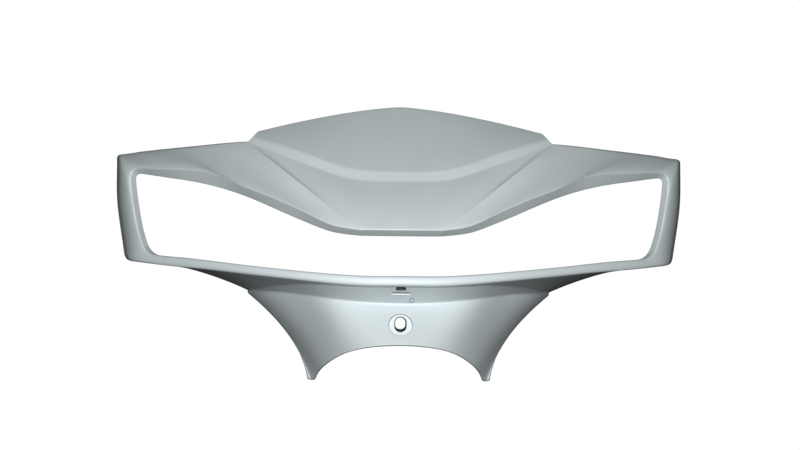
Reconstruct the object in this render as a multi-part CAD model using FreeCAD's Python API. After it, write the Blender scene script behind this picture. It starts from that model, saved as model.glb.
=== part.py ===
import FreeCAD, Part
import math
import os

# Handlebar front cover of a motor scooter: one injection-moulded ABS shell that frames the
# headlamp and indicators. Millimetres, +X across the bars, +Y to the rear, +Z up.
# The shell is a net of panels that share their feature lines: hood crown, chamfer band, snout,
# two wings with their side frames, lower rim, window flange, underside, stem neck.
# Every line is given for x >= 0 and mirrored. Heights count from the middle of the lower rim.

# Shell
wall = 2.3
edge_return = 14.0          # rearward wall round the wing tips
hood_foot_return = 6.0      # the same wall where it starts at the hood's foot
flange_depth = 8.0          # rearward step of the window flange, behind the lens line
band_foot_setback = 20.8    # chamfer band behind the lens surface, at the middle
wing_setback = 24.7         # wing's top edge behind the lens surface, at the hood's foot
tip_setback = 13.0          # the same at the wing tip
frame_setback = 5.2         # outer edge of the side frame behind the lens surface
rim_setback = 0.8           # lower edge of the rim behind the lens surface
band_step = 3.0             # rearward lean of the chamfer band

# Lens surface that the window's lip follows: plan curve and lean
nose_radius = 208.5
sweep_reach = 450.0
lens_lean = 0.22

# Hood
hood_top_z = 128.0
hood_top_y = 90.0
hood_corner_x = 105.0
hood_corner_y = 82.0
hood_corner_z = 109.2
hood_bow = 1.45             # exponent of the hood edge's fall from the middle to the corner
crown_bulge = 1.3
snout_bulge = 1.7
crease_bulge = 5.0
wing_bulge = 3.8
rim_bulge = 0.8

# Stem neck
neck_waist = 8.0            # inward bow of the neck's sides

# Stem screw: round recess along the screw, long hole along the mould's draw, tube behind
recess_z = -32.2
recess_r = 8.65
recess_depth = 4.6          # at the middle, along the screw
screw_tilt = 16.0           # rise of the screw to the front, in degrees
hole_width = 8.4
hole_height = 11.0
screw_tube = 15.0           # length of the tube behind the neck's face

# Clip slot and its bar on the chin above the neck
slot_width = 7.8
slot_height = 2.6
slot_z = -6.1
slot_depth = 12.0           # blind socket behind the slot
bar_width = 14.0
bar_height = 0.8
bar_proud = 0.5
bar_z = -10.0

# Lamp posts behind the wings and behind the rim, drilled for self-tapping screws
post_r = 3.3
pilot_r = 1.6
pilot_depth = 12.0
post_x = 128.0
upper_post_z = 86.0
upper_post_reach = 35.5     # post's end behind the lens surface
lower_post_drop = 0.7       # lower post's axis below the middle of the rim's height
lower_post_lead = 8.6       # lower post's start and end behind the lens surface
lower_post_reach = 26.6

# Tongues under the hood's edge that enter the rear cover
tongue_x = 58.0
tongue_width = 18.0
tongue_thick = 2.0
tongue_drop = 5.0           # below the hood's edge
tongue_reach = 8.0          # behind the hood's edge

# Feature lines as (x, z), middle to end
rim_top_z = 3.3
hood_foot = (112.9, 101.0)
band_top = [(0, 80), (12, 80), (35.5, 81.8), (58.8, 88.6), (74.4, 94.3), (89.9, 99.2), (108.9, 105.1)]
band_foot = [(0, 72.5), (12, 72.5), (35.5, 74), (58.8, 80.8), (89.9, 92.2), hood_foot]
lip_top = [(0, 37), (12.5, 37), (25, 37), (39.2, 37.4), (51, 40.5), (74.4, 51.2), (97.7, 61.2), (121, 70.3),
           (136.7, 77), (146, 79), (167.8, 80.3), (191, 81)]
lip_corner_up = (199.3, 81.2)
lip_side = [(198.8, 73.5), (196.5, 52), (191.2, 29)]
lip_corner_low = (188.2, 17)
rim_top = [(0, rim_top_z), (44.4, 4.1), (88.8, 7.8), (122, 11.2), (155.4, 14.8), (177, 16.5)]
window_top = [(0, 32.2), (12.5, 32.2), (25, 32.3), (44.4, 33.7), (55.5, 36.6), (66.6, 40.7), (88.8, 50),
              (111, 59.5), (133, 66.8), (144.3, 69.6), (166.5, 73.3), (190, 76.6)]
window_corner_up = (195.2, 77.4)
window_side = [(194.6, 72), (192.4, 54), (189.8, 40), (186.2, 27)]
window_corner_low = (182.9, 16.8)
wing_top = [hood_foot, (133, 99.4), (155.4, 97), (177.6, 94.7), (203.4, 91.3)]
tip_corner_up = (207.7, 90.8)
frame_side = [(207.4, 86.6), (205.7, 53), (203, 35.5), (200.7, 18.5)]
tip_corner_low = (199.9, 12.4)
rim_foot = [(0, -4.1), (44.4, -3), (88.8, 1.2), (120, 4.4), (145, 7), (167, 8.8), (194.2, 11.75)]
crease_end_x = 31.0         # where the snout's side crease runs out on the lip
soft_corner = 0.67          # pull of the window's corners
sharp_corner = 0.86         # pull of the outer corners
window_low_step = 3.0       # inset of the window's lower corner behind the lip
back_rise = 0.5             # rise of the wing's rear edge over its front edge
neck_end_x = 120.0          # where the underside turns into the neck, on the rim

# Rear lines as (x, y, z), middle to end
back_side = [(209.3, 86.6), (208.4, 53), (206.2, 35.5), (203.75, 20.5)]
back_corner_up = (209.6, 91.3)
back_corner_low = (202.7, 12.2)
back_low = [(193, 100, 11.8), (167, 99, 9.2), (145, 98.5, 4.4), (123, 98.2, -4.4), (111.5, 98, -8.5)]
neck_root = [(0, 4.3, -5), (24, 6, -4.8), (52, 12, -3.9), (80, 37, -3.6), (100, 66, -6.5),
             (111.5, 98, -8.5)]
neck_valley = [(0, 17, -17), (24, 18.3, -16.2), (54, 27, -13.2), (81.4, 52, -9.9), (101, 74, -8.8),
               (111.7, 98, -10.5)]
neck_arch = [(0, 0, -47), (16, 2, -47.9), (33, 9.3, -51), (47, 23, -56.7), (57.5, 41, -64.5),
             (62.3, 56, -71.4), (64.7, 61.2, -73.9), (66.7, 62.6, -72.5)]

HALF = [0.0, 0.1, 0.22, 0.35, 0.48, 0.61, 0.74, 0.87, 1.0]
LOW = [0.0, 0.2, 0.4, 0.58, 0.73, 0.84, 0.92, 0.97, 1.0]
THIRDS = [0.0, 1 / 3, 2 / 3, 1.0]
CORNER = [0.2, 0.36, 0.5, 0.64, 0.8]


def vec(x, y, z):
    return FreeCAD.Vector(x, y, z)


def lens_y(x, z):
    """Depth of the lens surface behind the middle of the rim."""
    sweep = x * x / (2 * nose_radius) / (1 + (x / sweep_reach) ** 2)
    return sweep + lens_lean * (z - rim_top_z)


def sample(points, shares):
    """Points at shares of the length of a smooth curve through the given points."""
    flat = [vec(p[0], 0, p[1]) if len(p) == 2 else vec(*p) for p in points]
    curve = Part.BSplineCurve()
    curve.interpolate(flat)
    edge = curve.toShape()
    return [edge.valueAt(edge.getParameterByLength(edge.Length * s)) for s in shares]


def corner(a, q, b, pull):
    """Inner points of a rounded corner from a to b whose tangents meet at q; more pull is sharper."""
    q = vec(q[0], 0, q[1])
    c = a + (q - a) * pull
    d = b + (q - b) * pull
    return [a * (1 - t) ** 3 + c * (3 * t * (1 - t) ** 2) + d * (3 * t * t * (1 - t)) + b * t ** 3
            for t in CORNER]


def even(count):
    return [i / (count - 1) for i in range(count)]


def with_depth(points, setback):
    """Put flat points at the lens surface plus a set-back, one value for each point."""
    return [vec(p.x, lens_y(p.x, p.z) + s, p.z) for p, s in zip(points, setback)]


def mirrored(points):
    return [vec(-p.x, p.y, p.z) for p in points]


def full(half):
    """Left to right line from its right half, which starts at the middle."""
    return mirrored(half[:0:-1]) + half


def share_at(points, x):
    """Share of a curve's length at which it reaches a given x."""
    low, high = 0.0, 1.0
    rising = points[-1][0] > points[0][0]
    for _ in range(30):
        middle = (low + high) / 2
        if (sample(points, [middle])[0].x < x) == rising:
            low = middle
        else:
            high = middle
    return (low + high) / 2


def span(points, start, end, shares):
    """Points of a curve from x = start to x = end, at shares of that stretch."""
    a = share_at(points, start)
    b = share_at(points, end)
    return sample(points, [a + (b - a) * s for s in shares])


def blend(a, b, shares):
    return [a + (b - a) * s for s in shares]


def chord_params(lines):
    """Common parameters: mean chord length along the lines."""
    out = [0.0]
    for i in range(1, len(lines[0])):
        out.append(out[-1] + sum((line[i] - line[i - 1]).Length for line in lines))
    return [u / out[-1] for u in out]


class Row:
    """A curve through points at fixed parameters; a neighbour point beyond an end sets its tangent."""

    def __init__(self, points, params, before=None, after=None):
        self.points = points
        self.params = params
        self.before = before
        self.after = after
        self.curve = Part.BSplineCurve()
        if before is None and after is None:
            self.curve.interpolate(Points=points, Parameters=params)
            return
        tangents = [vec(1, 0, 0) for _ in points]
        flags = [False for _ in points]
        if before is not None:
            speed = (points[1] - points[0]).Length / (params[1] - params[0])
            tangents[0] = (points[1] - before).normalize() * speed
            flags[0] = True
        if after is not None:
            speed = (points[-1] - points[-2]).Length / (params[-1] - params[-2])
            tangents[-1] = (after - points[-2]).normalize() * speed
            flags[-1] = True
        self.curve.interpolate(Points=points, Parameters=params, Tangents=tangents,
                               TangentFlags=flags, Scale=False)


def skin(rows, across):
    """Surface that passes through the rows, which share their parameters."""
    columns = []
    for i in range(rows[0].curve.NbPoles):
        column = Part.BSplineCurve()
        column.interpolate(Points=[r.curve.getPole(i + 1) for r in rows], Parameters=across)
        columns.append(column)
    along = rows[0].curve
    surface = Part.BSplineSurface()
    surface.buildFromPolesMultsKnots(
        [c.getPoles() for c in columns], along.getMultiplicities(), columns[0].getMultiplicities(),
        along.getKnots(), columns[0].getKnots(), False, False, along.Degree, columns[0].Degree)
    return surface


class Panel:
    """One outer panel of the shell: rows of points, and the side that faces out at a probe point."""

    def __init__(self, rows, across, facing, probe):
        self.rows = rows
        self.across = across
        self.surface = skin(rows, across)
        self.sign = 1.0
        if self.normal(probe, 0).dot(facing) < 0:
            self.sign = -1.0

    def normal(self, j, v):
        return self.surface.normal(self.rows[0].params[j], self.across[v]) * self.sign

    def side(self, j):
        """Row along the panel's first (0) or last (-1) column."""
        return Row([r.points[j] for r in self.rows], self.across)


def key(p):
    return (round(p.x, 3), round(p.y, 3), round(p.z, 3))


def solve3(m, b):
    """Solve three linear equations by Cramer's rule."""
    def det(a):
        return vec(*a[0]).dot(vec(*a[1]).cross(vec(*a[2])))
    whole = det(m)
    out = []
    for c in range(3):
        swapped = [[b[r] if k == c else m[r][k] for k in range(3)] for r in range(3)]
        out.append(det(swapped) / whole)
    return vec(*out)


def inward(normals):
    """Step that lies one wall behind every panel that meets at a point."""
    hold = 0.02
    mean = vec(0, 0, 0)
    for n in normals:
        mean += n
    mean.normalize()
    m = [[hold if r == c else 0.0 for c in range(3)] for r in range(3)]
    b = [-wall * hold * mean[r] for r in range(3)]
    for n in normals:
        for r in range(3):
            b[r] -= wall * n[r]
            for c in range(3):
                m[r][c] += n[r] * n[c]
    return solve3(m, b)


def hood_lines():
    """Full-width lines of the hood: crown edge, band top, band foot, lip, window edge."""
    crown = []
    for s in HALF:
        fall = (hood_top_z - hood_corner_z) * s ** hood_bow
        depth = hood_top_y + (hood_corner_y - hood_top_y) * s * s
        crown.append(vec(hood_corner_x * s, depth, hood_top_z - fall))
    lines = [crown]
    for points, lean in ((band_top, band_step), (band_foot, 0.0)):
        flat = sample(points, HALF)
        grow = wing_setback - band_foot_setback
        lines.append(with_depth(flat, [
            band_foot_setback + lean + grow * (p.x / hood_foot[0]) ** 2 for p in flat]))
    for points, step in ((lip_top, 0.0), (window_top, flange_depth)):
        flat = span(points, 0, crease_end_x, HALF)
        lines.append(with_depth(flat, [step] * len(flat)))
    return [full(line) for line in lines]


def ring(top, corner_up, side, corner_low, low, pull):
    """Flat points of a line round the right side: top, corner, side, corner, bottom."""
    out = top + corner(top[-1], corner_up, side[0], pull) + side
    return out + corner(side[-1], corner_low, low[0], pull) + low


def ring_lines():
    """Right-hand lines from the snout's crease round the tip to the neck: lip, window, outer, rear."""
    ends = even(4)
    low = span(rim_top, rim_top[-1][0], neck_end_x, ends)
    lip = ring(span(lip_top, crease_end_x, lip_top[-1][0], even(10)), lip_corner_up,
               sample(lip_side, ends), lip_corner_low, low, soft_corner)
    lip = with_depth(lip, [0.0] * len(lip))
    low = [p - vec(window_low_step * (1 - s), 0, 0) for p, s in zip(low, ends)]
    window = ring(span(window_top, crease_end_x, window_top[-1][0], even(10)), window_corner_up,
                  sample(window_side, ends), window_corner_low, low, soft_corner)
    window = with_depth(window, [flange_depth] * len(window))

    top = sample(wing_top, even(10))
    low = span(rim_foot, rim_foot[-1][0], neck_end_x, ends)
    outer = ring(top, tip_corner_up, sample(frame_side, ends), tip_corner_low, low, sharp_corner)
    setback = blend(wing_setback, tip_setback, even(10))
    setback += blend(tip_setback, frame_setback, CORNER) + [frame_setback] * len(ends)
    setback += blend(frame_setback, rim_setback, [0.7 * t for t in CORNER] + [0.74, 0.95, 1, 1])
    outer = with_depth(outer, setback)

    low = sample(back_low, ends)
    rear = ring([p + vec(0, 0, back_rise) for p in top], back_corner_up, sample(back_side, ends),
                back_corner_low, [vec(p.x, 0, p.z) for p in low], sharp_corner)
    depth = blend(hood_foot_return, edge_return, even(10)) + [edge_return] * (2 * len(CORNER) + len(ends))
    rear = [vec(p.x, o.y + d, p.z) for p, o, d in zip(rear, outer, depth)] + low
    return lip, window, outer, rear


def low_lines():
    """Full-width lines below the window: rim top, window edge, rim foot, neck root, valley, arch."""
    top = with_depth(span(rim_top, 0, neck_end_x, LOW), [0.0] * len(LOW))
    foot = with_depth(span(rim_foot, 0, neck_end_x, LOW), [rim_setback] * len(LOW))
    edge = [p + vec(0, flange_depth, 0) for p in top]
    rest = [sample(points, LOW) for points in (neck_root, neck_valley, neck_arch)]
    return [full(line) for line in [top, edge, foot] + rest]


def swell(first, last, bulge):
    """Lines from first to last at thirds, pushed to the front by one value for each column."""
    lines = [first]
    for v in THIRDS[1:-1]:
        lines.append([a + (b - a) * v - vec(0, s * 4 * v * (1 - v), 0)
                      for a, b, s in zip(first, last, bulge)])
    return lines + [last]


def neck_lines(valley, arch):
    """Lines down the neck; its sides bow inward to the waist."""
    lines = [valley]
    for v in THIRDS[1:-1]:
        middle = []
        for a, b, s in zip(valley, arch, mirrored_shares(LOW)):
            middle.append(a + (b - a) * v - vec(neck_waist * s ** 3 * 4 * v * (1 - v), 0, 0))
        lines.append(middle)
    return lines + [arch]


def mirrored_shares(shares):
    return [-s for s in shares[:0:-1]] + shares


def rows_of(lines, params, before=None, after=None):
    before = before or [None] * len(lines)
    after = after or [None] * len(lines)
    return [Row(line, params, b, a) for line, b, a in zip(lines, before, after)]


def build_panels():
    """All outer panels, and the rows along their free edges."""
    crown, band, foot, lip_mid, window_mid = hood_lines()
    lip, window, outer, rear = ring_lines()
    rim, window_low, rim_low, root, valley, arch = low_lines()
    across_hood = mirrored_shares(HALF)
    across_low = mirrored_shares(LOW)
    along = chord_params([lip, outer])
    edges = []

    fade = [1 - s ** 4 for s in across_hood]
    crown_row, band_row, foot_row = rows_of([crown, band, foot], across_hood)
    h1 = rows_of(swell(crown, band, [crown_bulge * f for f in fade])[1:-1], across_hood)
    h2 = rows_of(swell(foot, lip_mid, [crease_bulge + (snout_bulge - crease_bulge) * f for f in fade])[1:-1], across_hood)
    lip_row = Row(lip_mid, across_hood, mirrored(lip)[1], lip[1])
    window_row = Row(window_mid, across_hood, mirrored(window)[1], window[1])
    up = vec(0, -1, 1)
    middle = len(HALF) - 1
    hood = Panel([crown_row] + h1 + [band_row], THIRDS, up, middle)
    chamfer = Panel([band_row, foot_row], [0, 1], up, middle)
    snout = Panel([foot_row] + h2 + [lip_row], THIRDS, up, middle)
    flange = Panel([lip_row, window_row], [0, 1], vec(0, 0, -1), middle)
    panels = [hood, chamfer, snout, flange]
    edges += [crown_row, window_row]
    for panel in (hood, chamfer):
        edges += [panel.side(0), panel.side(-1)]

    shape = [min(1.0, 2.5 * u) for u in along]
    body = swell(lip, outer, [crease_bulge + (wing_bulge - crease_bulge) * s + (rim_bulge - wing_bulge) * u
                              for s, u in zip(shape, along)])
    low_body = swell(rim, rim_low, [rim_bulge] * len(rim))
    wings = []
    for turn in (mirrored, list):
        lines = [turn(line) for line in body]
        nexts = [line[-2] if turn is list else line[1] for line in low_body]
        first = [lip_mid[-2] if turn is list else lip_mid[1], None, None, None]
        rows = rows_of(lines, along, first, nexts)
        edge = Row(turn(window), along, window_mid[-2] if turn is list else window_mid[1],
                   window_low[-2] if turn is list else window_low[1])
        back = Row(turn(rear), along)
        wings.append(Panel(rows, THIRDS, up, 5))
        panels.append(wings[-1])
        panels.append(Panel([rows[0], edge], [0, 1], vec(0, 0, -1), 5))
        wall_panel = Panel([rows[-1], back], [0, 1], vec(0, 0, 1), 5)
        panels.append(wall_panel)
        edges += [edge, back, wall_panel.side(0)]

    before = [mirrored(line)[-2] for line in body]
    after = [line[-2] for line in body]
    low_rows = rows_of(low_body, across_low, before, after)
    edge = Row(window_low, across_low, mirrored(window)[-2], window[-2])
    root_row = Row(root, across_low)
    neck = rows_of(neck_lines(valley, arch), across_low)
    middle = len(LOW) - 1
    panels.append(Panel(low_rows, THIRDS, vec(0, -1, 0), middle))
    panels.append(Panel([low_rows[0], edge], [0, 1], vec(0, 0, 1), middle))
    panels.append(Panel([low_rows[-1], root_row], [0, 1], vec(0, 0, -1), middle))
    chin = Panel([root_row, neck[0]], [0, 1], vec(0, -1, -1), middle)
    tube = Panel(neck, THIRDS, vec(0, -1, 0), middle)
    panels += [chin, tube]
    edges += [edge, neck[-1]]
    for panel in (chin, tube):
        edges += [panel.side(0), panel.side(-1)]
    return panels, edges, {"hood": hood, "wings": wings, "neck": tube}


def shell_solid(panels, edges):
    """Close the outer panels with an inner skin one wall behind and the edge strips between."""
    normals = {}
    for panel in panels:
        for v in (0, -1):
            for j, p in enumerate(panel.rows[v].points):
                normals.setdefault(key(p), []).append(panel.normal(j, v))
    step = {k: inward(n) for k, n in normals.items()}
    for panel in panels:
        for row, v in list(zip(panel.rows, panel.across))[1:-1]:
            for p, a, b in zip(row.points, panel.rows[0].points, panel.rows[-1].points):
                step[key(p)] = step[key(a)] * (1 - v) + step[key(b)] * v

    def behind(p):
        return None if p is None else p + step[key(p)]

    def inner_row(row):
        return Row([behind(p) for p in row.points], row.params, behind(row.before), behind(row.after))

    faces = []
    for panel in panels:
        faces.append(panel.surface.toShape())
        faces.append(skin([inner_row(r) for r in panel.rows], panel.across).toShape())
    for row in edges:
        faces.append(skin([row, inner_row(row)], [0, 1]).toShape())
    sewn = Part.Compound(faces)
    sewn.sewShape(0.01)
    solid = Part.Solid(sewn.Shells[0])
    if solid.Volume < 0:
        solid.reverse()
    return solid


def rearward(panel, skip, reach):
    """Block of space behind a panel, from a step below its face, for trimming what stands on it."""
    face = panel.surface.toShape()
    face.translate(vec(0, skip, 0))
    return face.extrude(vec(0, reach, 0))


def obround(width, height, centre, length):
    """Prism along +Y with round ends above and below (or left and right when wider than tall)."""
    r = min(width, height) / 2
    dx = width / 2 - r
    dz = height / 2 - r
    block = Part.makeBox(2 * dx + (2 * r if dx == 0 else 0), length, 2 * dz + (2 * r if dz == 0 else 0))
    block.translate(centre - vec(block.BoundBox.XMax / 2, 0, block.BoundBox.ZMax / 2))
    ends = [Part.makeCylinder(r, length, centre + vec(dx * s, 0, dz * s), vec(0, 1, 0)) for s in (-1, 1)]
    return block.fuse(ends).removeSplitter()


def neck_seat():
    """Point on the neck's middle line at the recess, and the outward direction of the screw."""
    top = vec(*neck_valley[0])
    foot = vec(*neck_arch[0])
    run = top - foot
    point = foot + run * ((recess_z - foot.z) / run.z)
    tilt = math.radians(screw_tilt)
    return point, vec(0, -math.cos(tilt), math.sin(tilt))


def add_stem_screw(cover, neck):
    """Recess with its cup, the long screw hole and the tube behind it."""
    point, out = neck_seat()
    floor = point - out * recess_depth
    cup = Part.makeCylinder(recess_r + wall, 4 * recess_depth + wall, floor - out * wall, out)
    centre = vec(0, point.y, point.z)
    tube = obround(hole_width + 2 * wall, hole_height + 2 * wall, centre, screw_tube)
    behind = rearward(neck, wall / 2, 2 * screw_tube)
    cover = cover.fuse([cup.common(behind), tube.common(behind)])
    recess = Part.makeCylinder(recess_r, 4 * recess_depth, floor, out)
    hole = obround(hole_width, hole_height, centre - vec(0, screw_tube, 0), 3 * screw_tube)
    return cover.cut([recess, hole])


def chin_y(z):
    """Depth of the chin's middle line at a height."""
    low = vec(*neck_valley[0])
    high = vec(*neck_root[0])
    return low.y + (high.y - low.y) * (z - low.z) / (high.z - low.z)


def add_clip_slot(cover):
    """Slot in the chin with its blind socket behind, and the thin bar below."""
    bar = Part.makeBox(bar_width, wall, bar_height)
    bar.translate(vec(-bar_width / 2, chin_y(bar_z) - bar_proud, bar_z - bar_height / 2))
    mouth = vec(0, chin_y(slot_z), slot_z)
    left = -slot_width / 2 - wall
    low = slot_z - slot_height / 2 - wall
    high = slot_z + slot_height / 2 + wall
    end = mouth.y + slot_depth + wall
    outline = [vec(left, chin_y(low) + wall / 2, low), vec(left, chin_y(high) + wall / 2, high),
               vec(left, end, high), vec(left, end, low)]
    side = Part.Face(Part.makePolygon(outline + outline[:1]))
    socket = side.extrude(vec(-2 * left, 0, 0))
    slot = obround(slot_width, slot_height, mouth - vec(0, 2 * wall, 0), 2 * wall + slot_depth)
    return cover.fuse([bar, socket]).cut(slot)


def rim_middle_z(x):
    """Height halfway between the rim's top and its foot."""
    return sum(sample(line, [share_at(line, x)])[0].z for line in (rim_top, rim_foot)) / 2


def add_lamp_posts(cover, wings):
    """Four drilled posts that carry the lamp unit."""
    posts = []
    pilots = []
    back = vec(0, 1, 0)
    lower_z = rim_middle_z(post_x) - lower_post_drop
    for side, wing in zip((-1, 1), wings):
        x = side * post_x
        upper_end = lens_y(x, upper_post_z) + upper_post_reach
        upper = Part.makeCylinder(post_r, upper_end, vec(x, 0, upper_post_z), back)
        posts.append(upper.common(rearward(wing, wall / 2, upper_end)))
        start = lens_y(x, lower_z) + lower_post_lead
        length = lower_post_reach - lower_post_lead
        posts.append(Part.makeCylinder(post_r, length, vec(x, start, lower_z), back))
        for z, end in ((upper_post_z, upper_end), (lower_z, start + length)):
            pilots.append(Part.makeCylinder(pilot_r, pilot_depth, vec(x, end - pilot_depth, z), back))
    return cover.fuse(posts).cut(pilots)


def add_tongues(cover, hood):
    """Flat tongues behind the hood's edge."""
    behind = rearward(hood, wall / 2, hood_top_y)
    tongues = []
    for x in (-tongue_x, 0.0, tongue_x):
        share = abs(x) / hood_corner_x
        top = hood_top_z - (hood_top_z - hood_corner_z) * share ** hood_bow - tongue_drop
        end = hood_top_y + (hood_corner_y - hood_top_y) * share * share + tongue_reach
        plate = Part.makeBox(tongue_width, end, tongue_thick)
        plate.translate(vec(x - tongue_width / 2, 0, top - tongue_thick))
        tongues.append(plate.common(behind))
    return cover.fuse(tongues)


def build_cover():
    panels, edges, named = build_panels()
    cover = shell_solid(panels, edges)
    cover = add_stem_screw(cover, named["neck"])
    cover = add_clip_slot(cover)
    cover = add_lamp_posts(cover, named["wings"])
    cover = add_tongues(cover, named["hood"])
    point, out = neck_seat()
    cover.translate(out * recess_depth - point)
    return cover


cover = build_cover()
print("valid", cover.isValid(), "solids", len(cover.Solids), "volume", round(cover.Volume))

os.makedirs("parts", exist_ok=True)
cover.Solids[0].exportStep("parts/front_cover.step")
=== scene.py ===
"""Looks of a motor scooter's handlebar front cover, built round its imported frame.

The cover is one moulded shell. Its skin is drawn from the same feature lines as the part, finer and
with rounded creases, then painted outside and left bare behind. Lengths are millimetres in lamp
coordinates: x across the bars, y to the rear, z up from the middle of the lower rim. They become
metres in the part's frame, whose origin is the floor of the stem screw's recess, when a mesh is made.
"""
from __future__ import annotations

import logging
import math
from dataclasses import dataclass, field
from enum import Enum

import bmesh
import bpy
import numpy as np
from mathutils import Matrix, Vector


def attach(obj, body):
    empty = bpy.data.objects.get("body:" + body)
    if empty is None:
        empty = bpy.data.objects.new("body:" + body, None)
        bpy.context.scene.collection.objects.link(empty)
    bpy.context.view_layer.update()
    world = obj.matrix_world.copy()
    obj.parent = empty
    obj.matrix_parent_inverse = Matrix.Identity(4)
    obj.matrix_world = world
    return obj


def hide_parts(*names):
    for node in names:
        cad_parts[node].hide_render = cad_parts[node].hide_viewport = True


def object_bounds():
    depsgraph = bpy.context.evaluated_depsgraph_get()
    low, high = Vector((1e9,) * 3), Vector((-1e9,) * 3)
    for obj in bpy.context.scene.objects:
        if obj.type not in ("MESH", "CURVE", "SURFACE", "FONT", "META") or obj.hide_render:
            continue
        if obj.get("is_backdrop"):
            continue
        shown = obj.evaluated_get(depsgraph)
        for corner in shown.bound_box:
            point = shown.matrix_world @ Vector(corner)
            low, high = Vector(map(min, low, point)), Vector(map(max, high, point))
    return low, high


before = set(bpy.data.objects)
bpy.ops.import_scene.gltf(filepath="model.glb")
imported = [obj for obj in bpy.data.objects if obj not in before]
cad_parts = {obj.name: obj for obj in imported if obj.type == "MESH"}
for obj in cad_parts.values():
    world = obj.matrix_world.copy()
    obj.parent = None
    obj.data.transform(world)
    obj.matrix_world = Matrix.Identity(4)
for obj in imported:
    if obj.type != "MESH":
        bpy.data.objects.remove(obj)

log = logging.getLogger("front_cover")
MM = 0.001
NODE = "front_cover"
BODY = "root"
Pair = tuple[float, float]
Triple = tuple[float, float, float]


def vec(*xyz: float) -> np.ndarray:
    """Return a point or direction as an array."""
    return np.array(xyz, float)


def unit(v: np.ndarray) -> np.ndarray:
    """Return vectors scaled to length one."""
    return v / np.linalg.norm(v, axis=-1, keepdims=True)


def flip(points: np.ndarray) -> np.ndarray:
    """Return points mirrored about x = 0."""
    return points * vec(-1, 1, 1)


def smooth(t: np.ndarray) -> np.ndarray:
    """Return a soft step from 0 to 1, flat outside that range."""
    t = np.clip(t, 0.0, 1.0)
    return t * t * (3 - 2 * t)


class Spline:
    """Smooth cubic curve through points."""

    def __init__(self, points: np.ndarray, params: np.ndarray | None = None,
                 start: np.ndarray | None = None, end: np.ndarray | None = None) -> None:
        """Fit the curve.

        Args:
            points: Points to pass, one a row.
            params: Parameter of each point, or None for the chord length.
            start: Derivative at the first point, or None to read it from the points.
            end: Derivative at the last point, or None to read it from the points.
        """
        self.p = np.asarray(points, float)
        if params is None:
            params = np.concatenate([[0.0], np.cumsum(np.linalg.norm(np.diff(self.p, axis=0), axis=1))])
        self.t = np.asarray(params, float)
        count = len(self.t)
        gap = np.diff(self.t)
        slope = np.diff(self.p, axis=0) / gap[:, None]
        lhs = np.zeros((count, count))
        rhs = np.zeros_like(self.p)
        lhs[0, 0] = lhs[-1, -1] = 1.0
        rhs[0] = self.end_slope(self.t, self.p) if start is None else start
        rhs[-1] = self.end_slope(self.t[::-1], self.p[::-1]) if end is None else end
        for i in range(1, count - 1):
            lhs[i, i - 1:i + 2] = gap[i], 2 * (gap[i - 1] + gap[i]), gap[i - 1]
            rhs[i] = 3 * (gap[i] * slope[i - 1] + gap[i - 1] * slope[i])
        self.m = np.linalg.solve(lhs, rhs)

    @staticmethod
    def end_slope(t: np.ndarray, p: np.ndarray) -> np.ndarray:
        """Return the derivative at the first point of the polynomial through the first four."""
        k = min(4, len(t))
        return np.linalg.solve(np.vander(t[:k] - t[0], increasing=True), p[:k])[1]

    def at(self, t: np.ndarray) -> np.ndarray:
        """Find points of the curve.

        Args:
            t: Their parameters.

        Returns:
            The points, with xyz last.
        """
        t = np.asarray(t, float)
        i = np.clip(np.searchsorted(self.t, t, side="right") - 1, 0, len(self.t) - 2)
        gap = (self.t[i + 1] - self.t[i])[..., None]
        s = (t - self.t[i])[..., None] / gap
        return ((1 + 2 * s) * (1 - s) ** 2 * self.p[i] + s * (1 - s) ** 2 * gap * self.m[i]
                + s * s * (3 - 2 * s) * self.p[i + 1] + s * s * (s - 1) * gap * self.m[i + 1])


class FeatureLine(Spline):
    """Line of the shell given by a few points, read by shares of its length."""

    TRACE_POINTS = 4001

    def __init__(self, points: tuple[tuple[float, ...], ...]) -> None:
        """Fit the line.

        Args:
            points: Points to pass, as (x, z) or (x, y, z).
        """
        super().__init__(np.array([(p[0], 0.0, p[1]) if len(p) == 2 else p for p in points]))
        self.fine = np.linspace(0.0, self.t[-1], self.TRACE_POINTS)
        self.trace = self.at(self.fine)
        steps = np.linalg.norm(np.diff(self.trace, axis=0), axis=1)
        self.run = np.concatenate([[0.0], np.cumsum(steps)])

    def shares(self, shares: np.ndarray) -> np.ndarray:
        """Return the points at shares of the length."""
        return self.at(np.interp(np.asarray(shares) * self.run[-1], self.run, self.fine))

    def share_at(self, x: float) -> float:
        """Return the share of the length at which the line reaches x."""
        order = np.argsort(self.trace[:, 0])
        return float(np.interp(x, self.trace[order, 0], self.run[order])) / self.run[-1]

    def between(self, start: float, end: float, shares: np.ndarray) -> np.ndarray:
        """Return the points from x = start to x = end, at shares of that stretch."""
        a, b = self.share_at(start), self.share_at(end)
        return self.shares(a + (b - a) * np.asarray(shares))


@dataclass
class Row:
    """Line of points that a panel passes through.

    Attributes:
        points: The points, from the middle to the right for a symmetric row.
        params: Parameter of each point.
        before: Neighbour point before the first one, which sets the tangent there.
        after: Neighbour point after the last one.
        symmetric: Whether the row goes on to the left as a mirror image.
    """

    points: np.ndarray
    params: np.ndarray
    before: np.ndarray | None = None
    after: np.ndarray | None = None
    symmetric: bool = False

    def curve(self) -> Spline:
        """Fit the curve through the row.

        Returns:
            The curve, which goes on to the left where the row is symmetric.
        """
        p, t = self.points, self.params
        start = end = None
        if self.before is not None:
            start = unit(p[1] - self.before) * np.linalg.norm(p[1] - p[0]) / (t[1] - t[0])
        if self.after is not None:
            end = unit(self.after - p[-2]) * np.linalg.norm(p[-1] - p[-2]) / (t[-1] - t[-2])
        if not self.symmetric:
            return Spline(p, t, start, end)
        if end is not None:
            start = -flip(end)
        return Spline(np.concatenate([flip(p[:0:-1]), p]), np.concatenate([-t[:0:-1], t]), start, end)


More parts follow.
